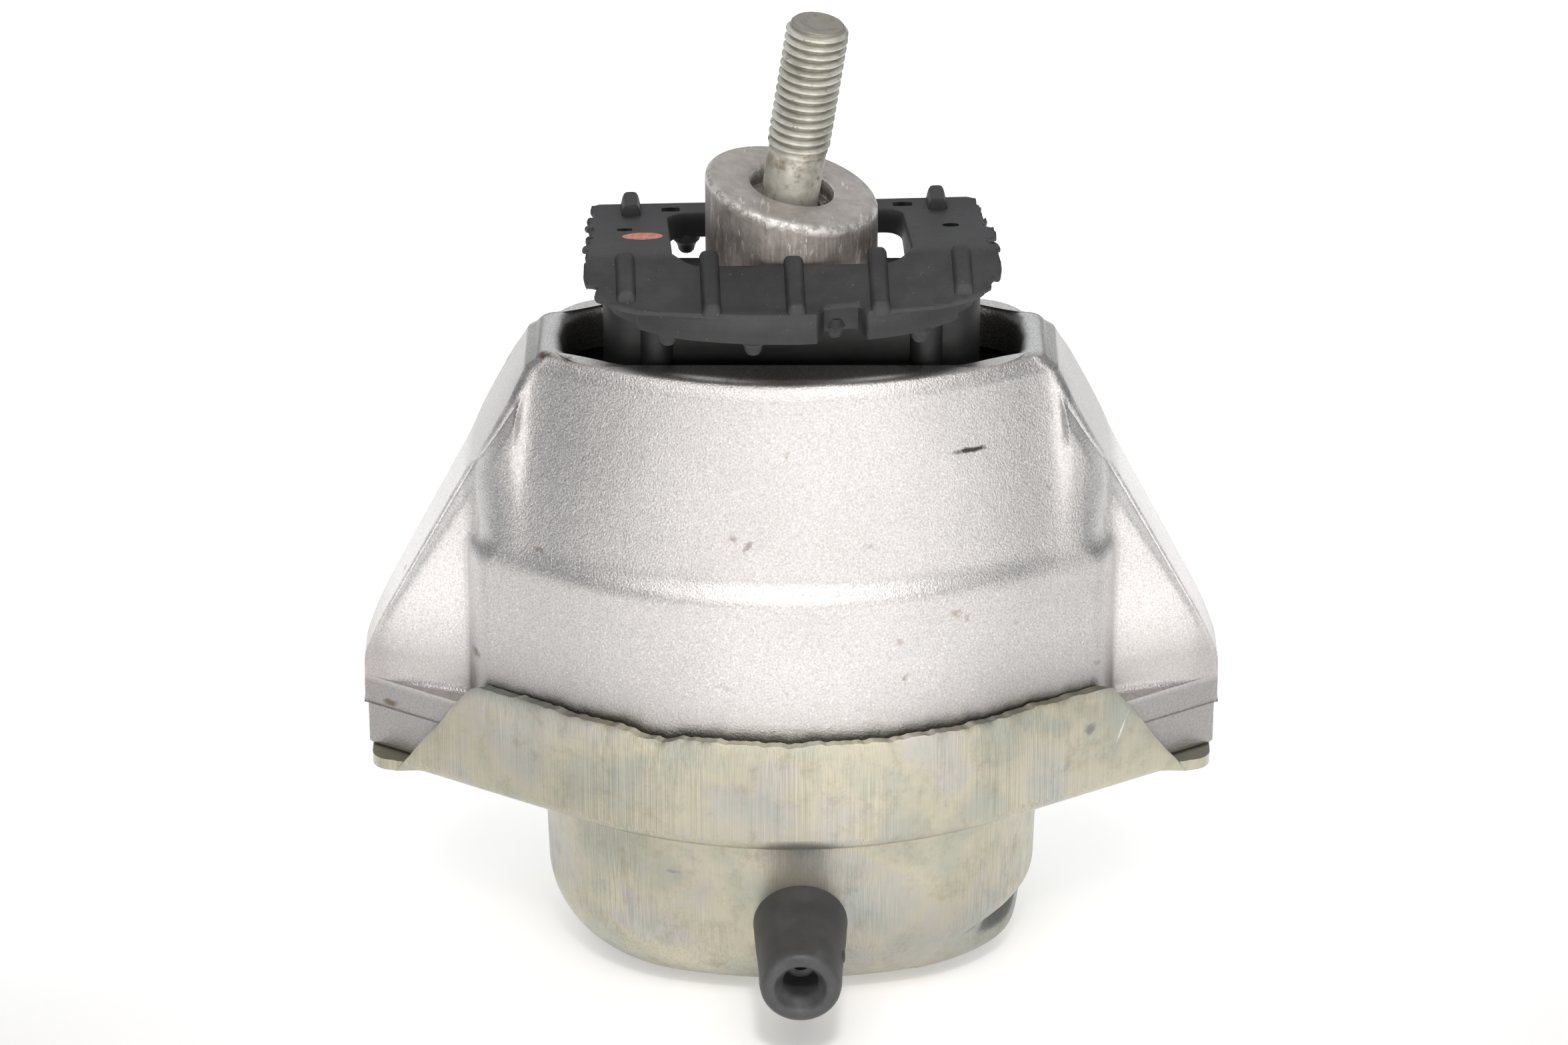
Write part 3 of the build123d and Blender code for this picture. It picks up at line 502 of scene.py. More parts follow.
bore += ((2.62, 40.8), (2.61, 36.0), (2.61, 31.0))
for radius, depth in bore:
    rings.append(sleeve_ring(radius, depth))
vacuum_sleeve = skin("vacuum_sleeve_rubber", np.stack(rings), joined=True)

turn = np.linspace(0, 2 * np.pi, 24, endpoint=False)
rings = []
for size, out in ((0.9, 6.4), (0.9, 6.9), (0.75, 7.15), (0.4, 7.25)):
    y = sleeve_nub_y + sleeve_nub_length * size * np.cos(turn)
    rings.append(np.column_stack([np.full(24, sleeve_x + out), y, sleeve_nub_z + size * np.sin(turn)]))
tips = [(sleeve_x + out, sleeve_nub_y, sleeve_nub_z) for out in (6.4, 7.3)]
vacuum_sleeve = fuse("vacuum_sleeve_rubber", [vacuum_sleeve, skin("sleeve_nub", np.stack(rings), *tips)])

sleeve_rubber, tree, shader = finish("slate_sleeve_rubber", 0.0, 0.5)
bloom = speckle(tree, 160, 5, rough=0.65)
stops = ((0.32, (0.034, 0.035, 0.037)), (0.55, (0.054, 0.055, 0.058)), (0.75, (0.085, 0.086, 0.090)))
rough = ramp(tree, bloom, (0.3, 0.42), (0.7, 0.60))
dress(tree, shader, ramp(tree, bloom, *stops), speckle(tree, 1300, 3), 0.04, 0.5, rough)
vacuum_sleeve.data.materials.append(sleeve_rubber)
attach(vacuum_sleeve, "root")
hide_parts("vacuum_sleeve")

# Fluid stack and vacuum switch, closed in by the cup, the bell and the rubber spring: phosphated
# steel pieces, die-cast channel plates and black rubber. They keep their modelled shapes.

steel_nodes = ("vacuum_nipple", "support_ring", "bellows_disc", "return_spring")
steel_nodes += ("plate_rivet_1", "plate_rivet_2", "plate_rivet_3", "plate_rivet_4")
plate_nodes = ("upper_channel_plate", "lower_channel_plate")
rubber_nodes = ("decoupler_membrane", "bellows", "upper_seal_ring")
inside = (
    (steel_nodes, "phosphated_steel", 0.8, 0.5, 400, (0.35, 0.20), (0.65, 0.36), 2500, 2, 0.02),
    (plate_nodes, "die_cast_plate", 1.0, 0.42, 300, (0.3, 0.48), (0.7, 0.66), 1800, 3, 0.03),
    (rubber_nodes, "inner_black_rubber", 0.0, 0.6, 250, (0.3, 0.012), (0.7, 0.030), 1500, 3, 0.03),
)
for names, look, metallic, roughness, scale, dark, light, fine_scale, detail, depth in inside:
    material, tree, shader = finish(look, metallic, roughness)
    tint = ramp(tree, speckle(tree, scale, 5), dark, light)
    dress(tree, shader, tint, speckle(tree, fine_scale, detail), depth, 0.4)
    for name in names:
        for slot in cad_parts[name].material_slots:
            slot.link = "OBJECT"
            slot.material = material

# Bell: an aluminium die casting, shot-blasted to a pinkish grey sparkle, which its bumps give and
# painted glitter in its colour adds to. Its bowed body has a ledge round it and carries two webs
# under sloping ridges. Each web stands on a solid lug, and the mouth on top has a smooth, rounded lip.

bell_bottom, parting, shelf = 36.5, 44.4, 49.8
ledge_low, ledge_high = 78.2, 80.8
rim, rim_half_width, rim_half_depth, rim_round, lip = 111.7, 41.4, 18.1, 2.4, 2.0
lug_end, lug_shoulder, ridge_end_x, ridge_end = 70.6, 53.6, 68.1, 60.2
lug_half_depth, lug_face, lug_bore_radius = 33.3, 67.8, 4.25
ridge_half_width, shoulder_slope, shoulder_round = 4.2, 3.4, 1.4
web_root, strip_x = 44.3, 66.3
pocket_slope, pocket_draft, pocket_fillet = np.tan(np.radians(15.6)), 0.0175, 1.6
mouth_core, mouth_corner = np.array([29.0, 1.8]), 8.0
storeys = np.array([bell_bottom, ledge_low, ledge_high, rim])
body_side, side_slope = (52.3, 52.3, 50.7, 50.7), 5.0


def by_height(z, values):
    """Straight interpolation of one size between the bell's storeys, with soft corners."""
    shifts = np.linspace(-1.2, 1.2, 9)
    return np.mean([np.interp(z + shift, storeys, values) for shift in shifts], axis=0)


def parted(size, z, step, bead):
    """A size that steps back below the casting's parting line and has a fine bead on the line."""
    size = size - step * smooth_step(parting + 0.12, parting - 0.12, z)
    return size + bead * np.exp(-(((z - parting - 0.1) / 0.22) ** 2))


def bell_half_depth(x, z):
    """Half depth of the bell's outside at x and z, the larger of its body and its web.

    The body is an arc with straight flanks and a round corner. The web is the flat face of the
    pocket, limited by the lug's flank plane and by the steep shoulder under the ridge.
    """
    middle = by_height(z, (lug_half_depth, 30.8, 28.0, rim_half_depth))
    face = by_height(z, (lug_face, 80.0, 90.0, 80.0))
    angle = by_height(z, (flank_angle, 27.0, 25.0, 27.0))
    side = by_height(z, body_side)
    body = flank_depth(x, middle, face, angle)
    corner = by_height(z, (3.4, 3.4, 4.4, 4.4))
    into = np.clip(x - (side - corner), 0.0, corner)
    body = body - (corner - np.sqrt(np.maximum(corner**2 - into**2, 0.0)))
    body = body - side_slope * np.maximum(x - side, 0.0)
    flank = parted(flank_depth(x, lug_half_depth, lug_face, flank_angle), z, 0.45, 0.22)
    strip_depth = flank_depth(strip_x, lug_half_depth, lug_face, flank_angle)
    pocket = strip_depth + pocket_slope * (strip_x - x) - pocket_draft * (z - shelf)
    depth_here = np.maximum(flank - pocket, 0.0)
    fillet = np.clip(1.0 - (z - shelf) / pocket_fillet, 0.0, 1.0)
    fillet = np.minimum(depth_here, pocket_fillet) * (1.0 - np.sqrt(1.0 - fillet**2))
    above = smooth_min(pocket + fillet, flank, 0.3)
    above = above - 3.0 * np.maximum(np.minimum(web_root, side - 2.0) - x, 0.0)
    web = flank + (above - flank) * smooth_step(shelf - 0.08, shelf + 0.10, z)
    run, drop = ridge_end_x - rim_half_width, rim - ridge_end
    below_ridge = ((rim - z) * run - (x - rim_half_width) * drop) / np.hypot(run, drop)
    shoulder = ridge_half_width + shoulder_slope * np.maximum(below_ridge, 0.0)
    web = smooth_min(web, shoulder, shoulder_round)
    return smooth_max(body, web, by_height(z, (1.5, 1.5, 2.8, 3.4)))


def bell_end(z):
    """How far the bell reaches along X: lug, its chamfer, then the ridge up to the rim."""
    chamfer = lug_end - (z - lug_shoulder) * (lug_end - ridge_end_x) / (ridge_end - lug_shoulder)
    ridge = rim_half_width + (rim - z) * (ridge_end_x - rim_half_width) / (rim - ridge_end)
    return smooth_min(smooth_min(parted(lug_end, z, 0.5, 0.18), chamfer, 0.5), ridge, 0.4)


def bell_loop(z):
    """Closed ring of the bell's outside at one height, finer near the body's corners and ends."""
    end = bell_end(np.array(z))
    side = by_height(z, body_side)
    edge = np.interp(z, (60.0, 95.0, 111.0), (0.45, 0.8, 2.0))
    near = max(min(side - 4.2, end - edge - 3.0), 10.0)
    far = min(side + 1.2, end - edge - 1.0)
    middle = np.linspace(0.0, near, 52, endpoint=False)
    corner = np.linspace(near, far, 24, endpoint=False)
    x = np.concatenate([middle, corner, far + (end - edge - far) * np.linspace(0.0, 1.0, 24) ** 0.8])
    y = bell_half_depth(x, z)
    turn = np.radians(np.linspace(22, 90, 4))
    round_x = end - edge * (1 - np.sin(turn))
    round_y = y[-1] - edge * (1 - np.cos(turn))
    x = np.concatenate([x, round_x, [end]])[::-1]
    y = np.concatenate([y, round_y, [0.0]])[::-1]
    return mirror_quarter(x, y)


heights = np.concatenate(
    [
        [bell_bottom],
        np.linspace(37.2, 43.9, 5),
        np.linspace(44.1, 44.9, 9),
        np.linspace(45.6, 49.3, 4),
        [49.6, 49.7, 49.76, 49.82, 49.88, 49.95, 50.1, 50.3, 50.6, 51.0, 51.5],
        np.linspace(52.2, 77.0, 40),
        np.linspace(77.5, 81.6, 15),
        np.linspace(82.3, rim - rim_round, 40),
    ]
)
outer = [lift(bell_loop(z), z) for z in heights]
foot = outer[0].copy()
foot[:, :2] *= 0.994
outer[0][:, 2] = bell_bottom + 0.35
outer.insert(0, foot)
rim_loop = bell_loop(rim - 0.001)
anchor = np.clip(rim_loop, -mouth_core, mouth_core)
toward = rim_loop - anchor
width = np.hypot(*toward.T)[:, None]
toward = toward / width
for turn in np.radians(np.linspace(25, 90, 5)):
    place = rim_loop - toward * rim_round * (1 - np.cos(turn))
    outer.append(lift(place, rim - rim_round + rim_round * np.sin(turn)))
for share in (0.3, 0.65, 1.0):
    inwards = (width - rim_round) * (1 - share) + (mouth_corner + lip) * share
    outer.append(lift(anchor + toward * inwards, rim))
for turn in np.radians(np.linspace(15, 90, 6)):
    place = anchor + toward * (mouth_corner + lip - lip * np.sin(turn))
    outer.append(lift(place, rim - lip + lip * np.cos(turn)))
mouth_wall = anchor + toward * mouth_corner
for height in (108.0, 106.0, 104.0):
    outer.append(lift(mouth_wall, height))
bearing = np.arctan2(mouth_wall[:, 1], mouth_wall[:, 0])
heading = np.column_stack([np.cos(bearing), np.sin(bearing)])
inner_forms = (
    (103.7, 37.5, 14.4, 120.0, 7.0),
    (95.0, 40.4, 18.1, 108.0, 10.0),
    (85.0, 43.8, 22.3, 94.0, 14.0),
    (75.0, 47.0, 26.3, 80.0, 18.0),
    (62.0, 43.3, 27.5, 78.0, 22.5),
    (49.0, 39.6, 28.6, 75.4, 26.4),
    (48.99, 41.6, 30.6, 77.4, 28.4),
    (bell_bottom, 41.6, 30.6, 77.4, 28.4),
)
for height, *form in inner_forms:
    outer.append(lift(heading * reach(bowed_outline(*form), bearing)[:, None], height))
bell = skin("bell_casting", np.stack(outer), joined=True)
bores = []
for side in (-1, 1):
    bore_heights = (30, bell_bottom + 17)
    bores.append(peg("lug_bore", side * ear_hole_place, 0, lug_bore_radius, bore_heights, 48, 2))
drill(bell, bores)

blasted, tree, shader = finish("shot_blasted_aluminium", 1.0, 0.55)
grain_and_glitter = speckle(tree, 3100, 2, rough=0.7)
pits = speckle(tree, 420, 3, rough=0.5, offset=(5, 2, 1))
cloud = speckle(tree, 38, 3, offset=(1, 4, 2))
tint = ramp(tree, cloud, (0.3, (0.62, 0.605, 0.595)), (0.7, (0.69, 0.675, 0.665)))
# Partly grain tone and partly painted glitter: the brightest specks lift the colour the way glints from
# the blasted facets would.
tint = shade(tree, tint, ramp(tree, grain_and_glitter, (0.35, 0.78), (0.5, 0.98), (0.64, 1.10), (0.72, 1.45)))
stain = ramp(tree, speckle(tree, 210, 4, offset=(2, 8, 3)), (0.70, 0.0), (0.76, 0.8))
tint = blend(tree, stain, tint, (0.33, 0.26, 0.22))
parts = node(tree, "ShaderNodeSeparateXYZ", {"Vector": on_object(tree)})
from_middle = maths(tree, "ABSOLUTE", parts.outputs["X"])
values = {"Value": from_middle, "From Min": 0.008, "From Max": 0.034, "To Min": 0.3}
aside = node(tree, "ShaderNodeMapRange", values).outputs[0]
# Painted reflection: the bell's low sides are darkened, more away from the middle, where they would
# mirror the cup's dark wall.
painted_wall_reflection = times(tree, maths(tree, "POWER", height_mask(tree, 68.0, 55.0), 1.6), aside)
tint = blend(tree, times(tree, painted_wall_reflection, 0.6), tint, (0.26, 0.245, 0.235))
# Painted light: the web pockets and their shelves are brightened by 40 percent.
pocket_painted_light = times(tree, span(tree, from_middle, 0.0515, 0.0535), height_mask(tree, 48.6, 49.6))
tint = blend(tree, pocket_painted_light, tint, shade(tree, tint, (1.40, 1.39, 1.39)))
marks = (
    ((28.6, -17.2, 99.5), (2.7, 3.0, 0.4), 0.0, (0.07, 0.065, 0.06)),
    ((-39.7, -7.8, 111.5), (1.2, 1.4, 0.7), 0.0, (0.20, 0.15, 0.12)),
    ((-36.9, -9.2, 111.7), (1.7, 1.0, 0.6), 0.0, (0.16, 0.12, 0.10)),
    ((-51.8, -14.3, 59.9), (0.9, 1.6, 1.1), 0.0, (0.26, 0.22, 0.18)),
    ((-52.6, -13.8, 62.8), (0.6, 1.6, 0.7), 0.0, (0.30, 0.25, 0.21)),
    ((-66.3, -7.0, 45.7), (1.1, 3.0, 0.6), 0.0, (0.22, 0.17, 0.12)),
)
tint = stained(tree, tint, marks)
smooth_rim = height_mask(tree, rim - 1.0, rim - 0.2)
rough = blend(tree, smooth_rim, ramp(tree, grain_and_glitter, (0.3, 0.33), (0.7, 0.42)), (0.34, 0.34, 0.34))
bumps = maths(tree, "ADD", grain_and_glitter, times(tree, pits, 0.8))
bumps = times(tree, bumps, maths(tree, "SUBTRACT", 1.0, times(tree, smooth_rim, 0.85)))
dress(tree, shader, tint, bumps, 0.075, 1.0, rough)
bell.data.materials.append(blasted)
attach(bell, "root")
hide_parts("housing")

# Core: an aluminium casting with a round boss on top. The boss's oblique face is machined and
# worn bright at its edge, its side is stained brown and scored, and its arm goes down into the
# bell inside the rubber.

boss_radius, boss_height, boss_slope = 13.75, 138.2, np.tan(np.radians(12.0))
boss_low, boss_edge = 118.5, 1.4
counterbore = 6.65
stud_hole_depth = 9.0


def boss_ring(radius, below, level=None):
    """Ring on the boss, a distance below its oblique face, or at one level height."""
    ring = round_ring((0, 0, 0), radius, 160)
    ring[:, 2] = boss_height - boss_slope * ring[:, 0] - below if level is None else level
    return ring


rings = [boss_ring(boss_radius, 0, boss_low)]
for share in np.linspace(0.1, 1.0, 12):
    ring = boss_ring(boss_radius, boss_edge)
    ring[:, 2] = boss_low + share * (ring[:, 2] - boss_low)
    rings.append(ring)
for turn in np.radians(np.linspace(10, 90, 8)):
    radius = boss_radius - boss_edge * (1 - np.cos(turn))
    rings.append(boss_ring(radius, boss_edge - boss_edge * np.sin(turn)))
face_steps = ((11.6, 0.0), (9.5, 0.0), (counterbore + 0.6, 0.0), (counterbore + 0.1, 0.35))
face_steps += ((counterbore, 0.8), (counterbore, 3.0), (counterbore - 0.2, 3.2), (4.9, 3.2), (4.7, 3.5))
for radius, below in face_steps + ((4.6, stud_hole_depth),):
    rings.append(boss_ring(radius, below))
boss = skin("boss", np.stack(rings), (0, 0, boss_low), (0, 0, boss_height - stud_hole_depth))


def rounded_block(half_width, half_depth, corner, z):
    """Rounded rectangle ring: a straight core plus a corner radius in every direction."""
    turn = np.linspace(0, 2 * np.pi, 144, endpoint=False)
    x = np.sign(np.cos(turn)) * (half_width - corner) + corner * np.cos(turn)
    y = np.sign(np.sin(turn)) * (half_depth - corner) + corner * np.sin(turn)
    return np.column_stack([x, y, np.broadcast_to(z, turn.shape)])


block = ((13.0, 7.0, 6.0, 64.0), (27.5, 9.0, 6.0, 80.0), (27.5, 9.0, 6.0, 92.5), (27.4, 8.6, 5.6, 93.0))
block += ((27.5, 4.8, 2.5, 93.4), (27.5, 4.8, 2.5, 118.6), (27.1, 4.4, 2.1, 119.0))
rings = np.stack([rounded_block(*sizes) for sizes in block])
arm = skin("core_arm", rings, (0, 0, 64.0), (0, 0, 119.0))
core = fuse("core_casting", [boss, arm])

core_metal, tree, shader = finish("worn_cast_boss", 0.7, 0.5)
scores = speckle(tree, 1500, 3, (1, 1, 0.10), 0.7)
blotch = speckle(tree, 170, 6, rough=0.72)
stops = ((0.3, (0.24, 0.21, 0.19)), (0.5, (0.37, 0.335, 0.31)), (0.7, (0.50, 0.46, 0.43)))
tint = shade(tree, ramp(tree, blotch, *stops), ramp(tree, scores, (0.35, 0.70), (0.62, 1.15)), 0.7)
nicks = ramp(tree, speckle(tree, 900, 4, (1, 1, 0.22), 0.7, (3, 3, 8)), (0.58, 0.0), (0.66, 0.8))
tint = blend(tree, nicks, tint, (0.72, 0.70, 0.67))
axes = {0: on_object(tree), 1: (boss_slope, 0.0, 1.0)}
tilt = node(tree, "ShaderNodeVectorMath", axes, operation="DOT_PRODUCT").outputs["Value"]


def under_face(start, end):
    """0 at one depth below the boss's oblique face and 1 at another, in millimetres."""
    return span(tree, tilt, (boss_height - start) * 0.001, (boss_height - end) * 0.001)


worn = under_face(1.6, 0.2)
stops = ((0.35, (0.46, 0.42, 0.39)), (0.65, (0.64, 0.60, 0.57)))
tint = blend(tree, times(tree, worn, 0.9), tint, ramp(tree, speckle(tree, 330, 7, rough=0.75), *stops))
bright_edge = times(tree, under_face(2.0, 0.8), under_face(0.05, 0.45))
broken = ramp(tree, speckle(tree, 700, 5, rough=0.75, offset=(1, 7, 2)), (0.42, 0.0), (0.55, 1.0))
tint = blend(tree, times(tree, bright_edge, broken), tint, (0.85, 0.84, 0.81))
hairs = ramp(tree, speckle(tree, 800, 3, (1, 0.18, 1), 0.6, (9, 1, 4)), (0.64, 0.0), (0.69, 0.8))
tint = blend(tree, times(tree, hairs, worn), tint, (0.80, 0.79, 0.77))
bumps = maths(tree, "ADD", scores, speckle(tree, 1600, 2))
dress(tree, shader, tint, bumps, 0.07, 0.5, ramp(tree, blotch, (0.3, 0.46), (0.7, 0.62)))
core.data.materials.append(core_metal)
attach(core, "root")
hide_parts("core")

# Load spring: black rubber bonded to the core. It covers the arm in the bell's mouth and flares
# out inside the bell to its steel ring.

spring_foot, spring_hollow, spring_top = 49.05, 61.0, 121.7
bead_x, bead_y, bead_radius = 21.5, -7.2, 2.6

skin_steps = ((13.0, 7.0, 5.0, spring_hollow), (24.0, 14.0, 10.0, 55.0), (29.5, 18.5, 16.0, spring_foot))
skin_steps += ((35.9, 25.0, 22.0, spring_foot), (36.0, 25.0, 22.0, 56.0), (30.5, 12.5, 9.0, 80.0))
skin_steps += ((30.2, 11.7, 8.7, 84.0), (30.2, 11.7, 8.7, 94.6), (30.0, 11.0, 8.0, 95.6))
skin_steps += ((30.2, 7.9, 5.0, 96.2),)
skin_steps += tuple((30.2, 7.5, 5.0, height) for height in (98.0, 104.0, 110.0, 116.0, 120.7))
skin_steps += ((29.9, 7.2, 4.7, 121.4), (29.4, 6.7, 4.2, spring_top))
rings = np.stack([rounded_block(*sizes) for sizes in skin_steps])
pieces = [skin("load_spring_rubber", rings, (0, 0, spring_hollow), (0, 0, spring_top))]
for x in (-bead_x, bead_x):
    pieces.append(peg("cover_bead", x, bead_y, bead_radius, (97.0, 110.0, 121.0), 40, 0.2))
load_spring = fuse("load_spring_rubber", pieces)

spring_rubber, tree, shader = finish("black_spring_rubber", 0.0, 0.48)
tint = ramp(tree, speckle(tree, 130, 5, rough=0.6), (0.35, 0.010), (0.6, 0.018), (0.8, 0.035))
dress(tree, shader, tint, speckle(tree, 900, 3), 0.05, 0.5)
load_spring.data.materials.append(spring_rubber)
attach(load_spring, "root")
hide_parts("load_spring")

# Stop buffer: a moulded plate of charcoal rubber that sits round the boss on the covered arm. It
# slopes down to the front and the rear from a crest, with five ribs on the front slope, two short
# ones at the rear, nubs below, a notch in its front edge and torn flash at both ends.

crest_y, crest_z = -12.3, 132.3
front_y, front_z = -25.0, 126.1
crease_y, crease_z = 14.4, 126.1
rear_y, rear_z = 19.0, 125.9
skirt_z, seat_z = 122.3, 121.72
turn_angle, shift_x = np.radians(2.8), -0.4
hole_half_width, hole_half_depth = 18.9, 14.05
rib_pitch, rib_width, rib_power = 13.25, 3.1, 0.45
rear_rib_x, rear_rib_width = 24.8, 3.2


def buffer_top(y):
    """Upper face over depth: the lower of the front and middle slopes, then the level rear."""
    front = crest_z + (crest_z - front_z) / (crest_y - front_y) * (y - crest_y)
    middle = crest_z + (crease_z - crest_z) / (crease_y - crest_y) * (y - crest_y)
    rear = crease_z + (rear_z - crease_z) / (rear_y - crease_y) * (y - crease_y)
    return smooth_max(smooth_min(front, middle, 0.7), rear, 0.5)


def buffer_under(y):
    """Underside over depth, level where it rests on the covered arm."""
    depths = (-25.5, -22.6, -11.5, -7.5, 7.5, 19.0)
    return np.interp(y, depths, (skirt_z, skirt_z, 126.9, seat_z, seat_z, 122.0))


def settle(points):
    """Turns and shifts the loose buffer to how it sits."""
    x, y, z = points[..., 0], points[..., 1], points[..., 2]
    turned_x = x * np.cos(turn_angle) - y * np.sin(turn_angle) + shift_x
    turned_y = x * np.sin(turn_angle) + y * np.cos(turn_angle)
    return np.stack([turned_x, turned_y, z], -1)


def buffer_plan(front_x, front_line, end_x):
    """Outline from above: the front's line through given points, a notch, sides and rear."""
    notch = (3.1, 3.4, 3.6, 3.8, 4.3, 5.4, 7.2, 9.0, 10.1, 10.6, 10.8, 11.0, 11.3)
    notch_depth = (0.0, 0.3, 1.1, 1.8, 2.4, 2.7, 2.8, 2.7, 2.4, 1.8, 1.1, 0.3, 0.0)
    x = np.concatenate([np.linspace(-end_x, 3.0, 160), notch, np.linspace(11.4, end_x, 120)])
    near = [np.interp(np.abs(x) + shift, front_x, front_line) for shift in (-1.2, -0.6, 0.0, 0.6, 1.2)]
    y = np.mean(near, axis=0) + np.interp(x, notch, notch_depth)
    side_y = np.linspace(y[-1] + 0.5, rear_y - 0.8, 120)
    side_x = np.interp(side_y, (y[-1], 0, 19), (end_x, 32.0, 30.9))
    right = np.column_stack([side_x, side_y])
    rear = np.column_stack([np.linspace(30.2, -30.2, 80), np.full(80, rear_y)])
    return np.concatenate([np.column_stack([x, y]), right, rear, right[::-1] * (-1, 1)])


plan_middle = np.array([7.2, -1.5])
spans = ((-180, -150, 60), (-150, -115, 60), (-115, -65, 170), (-65, -30, 60))
spans += ((-30, 35, 170), (35, 145, 110), (145, 180, 90))
bearing = np.radians(np.concatenate([np.linspace(*sector, endpoint=False) for sector in spans]))
heading = np.column_stack([np.cos(bearing), np.sin(bearing)])
flash_x = (0.0, 7.0, 10.5, 14.8, 22.4, 25.5, 29.8, 31.0, 32.0, 33.0)
flash_line = (-24.9, -24.6, -24.2, -23.6, -22.6, -21.8, -20.2, -19.2, -17.6, -15.8)
outer_reach = reach(buffer_plan(flash_x, flash_line, 32.3) - plan_middle, bearing)
skirt_x = (0.0, 6.6, 13.0, 17.0, 20.5, 24.0, 26.5, 29.3, 31.0, 32.0, 33.0)
skirt_line = (-24.9, -24.5, -23.4, -22.4, -21.1, -18.9, -17.0, -14.3, -11.8, -9.5, -7.0)
body_reach = reach(buffer_plan(skirt_x, skirt_line, 32.2) - plan_middle, bearing)
turn = np.linspace(0, 2 * np.pi, 240, endpoint=False)
hole_corner = np.where(np.sin(turn) < 0, 5.0, 3.0)
hole_x = np.sign(np.cos(turn)) * (hole_half_width - hole_corner) + hole_corner * np.cos(turn)
hole_y = np.sign(np.sin(turn)) * (hole_half_depth - hole_corner) + hole_corner * np.sin(turn)
hole = np.column_stack([hole_x, hole_y])
share = np.linspace(0.0, 1.0, 24, endpoint=False)[None, :, None]
hole = (hole[:, None] + share * (np.roll(hole, -1, axis=0) - hole)[:, None]).reshape(-1, 2)
inner_reach = reach(hole - plan_middle, bearing)
edge = plan_middle + heading * outer_reach[:, None]
at_end = smooth_step(29.0, 31.0, np.abs(edge[:, 0])) * smooth_step(18.9, 17.6, edge[:, 1])
at_corner = smooth_step(19.0, 25.0, np.abs(edge[:, 0])) * smooth_step(-17.0, -20.0, edge[:, 1])
along = np.cumsum(np.hypot(*np.diff(edge, axis=0, prepend=edge[:1]).T))
dice = np.random.default_rng(21)
teeth = np.cumsum(dice.uniform(0.3, 2.4, 400))
length = 0.8 * dice.normal(0, 1, 400) + 1.2 * (dice.uniform(0, 1, 400) > 0.80)
swell = np.interp(along, np.cumsum(dice.uniform(3, 7, 80)), dice.normal(0, 1, 80))
torn = 0.55 * swell + np.interp(along, teeth, length)
flash = at_end * (0.1 + 0.55 * torn) * (1.0 - 0.7 * at_corner) + at_corner * 0.2 * torn
outer_reach = outer_reach + np.clip(flash, -1.4, 1.0)
in_notch = smooth_step(3.0, 4.2, edge[:, 0]) * smooth_step(11.4, 10.2, edge[:, 0]) * (edge[:, 1] < -15)
lift_at_end = (0.35 * at_end + 0.12 * at_corner) * ripple(along, 22, (0.9, 1.9, 3.1, 6.3))
skirt_reach = np.minimum(body_reach, outer_reach) - at_end * 1.4 - 1.6 * in_notch


def plan_ring(distance, height_shift=0.0, height=buffer_top):
    """Ring of the plate at a distance from its middle, on its upper face or on another."""
    place = plan_middle + heading * distance[:, None]
    return lift(place, height(place[:, 1]) + height_shift)


in_front = smooth_step(-8.0, -13.0, plan_ring(skirt_reach - 0.15)[:, 1])


def under_ring(distance, hang=1.0):
    """Ring of the underside, with the front drawn down level to the skirt's lower edge."""
    ring = plan_ring(distance, 0.0, buffer_under)
    ring[:, 2] += in_front * hang * (skirt_z - ring[:, 2])
    return ring


rings = []
for drop, inset in ((1.4, 0.0), (0.5, 0.05), (0.12, 0.3), (0.0, 0.7)):
    rings.append(plan_ring(inner_reach + inset, -drop))
for share in np.linspace(0.04, 0.96, 46):
    inner, far = inner_reach + 0.7, outer_reach - 0.5
    rings.append(plan_ring(inner + share * (far - inner)))
rings.append(plan_ring(outer_reach - 0.35, -0.02))
rings.append(plan_ring(outer_reach - 0.1, -0.12 + lift_at_end))
rings.append(plan_ring(outer_reach, -0.35 + lift_at_end))
rings.append(plan_ring(outer_reach - 0.05, -0.75 + 0.5 * lift_at_end))
rings.append(plan_ring(0.5 * (outer_reach + skirt_reach), -1.1))
upper, lower = plan_ring(skirt_reach - 0.12, -1.4), under_ring(skirt_reach - 0.15)
for share in (0.05, 0.3, 0.6, 0.9):
    rings.append(upper + share * (lower - upper))
rings.append(under_ring(skirt_reach - 0.4))
for share in np.linspace(0.08, 0.96, 22):
    inner, far = inner_reach + 0.3, skirt_reach - 0.6
    rings.append(under_ring(far + share * (inner - far), max(1.0 - share / 0.22, 0.0)))
rings.append(plan_ring(inner_reach, 0.3, buffer_under))
plate = skin("buffer_plate", settle(np.stack(rings)), joined=True)
vents = ((-18.4, 16.0, 1.45, 0.85, 0.3), (-26.1, 4.8, 1.2, 0.8, 0.3))
vents += ((19.2, 16.2, 1.55, 0.85, 0.3), (26.1, 3.3, 1.3, 1.1, 0.95))
recesses = []
for x, y, half_x, half_y, corner in vents:
    ring = rounded_block(half_x, half_y, corner, buffer_top(y)) + (x, y, 0.0)
    stack = settle(np.stack([ring + (0.0, 0.0, rise) for rise in (-1.1, 1.5)]))
    recesses.append(skin("recess", stack, stack[0].mean(0), stack[-1].mean(0)))
drill(plate, recesses)


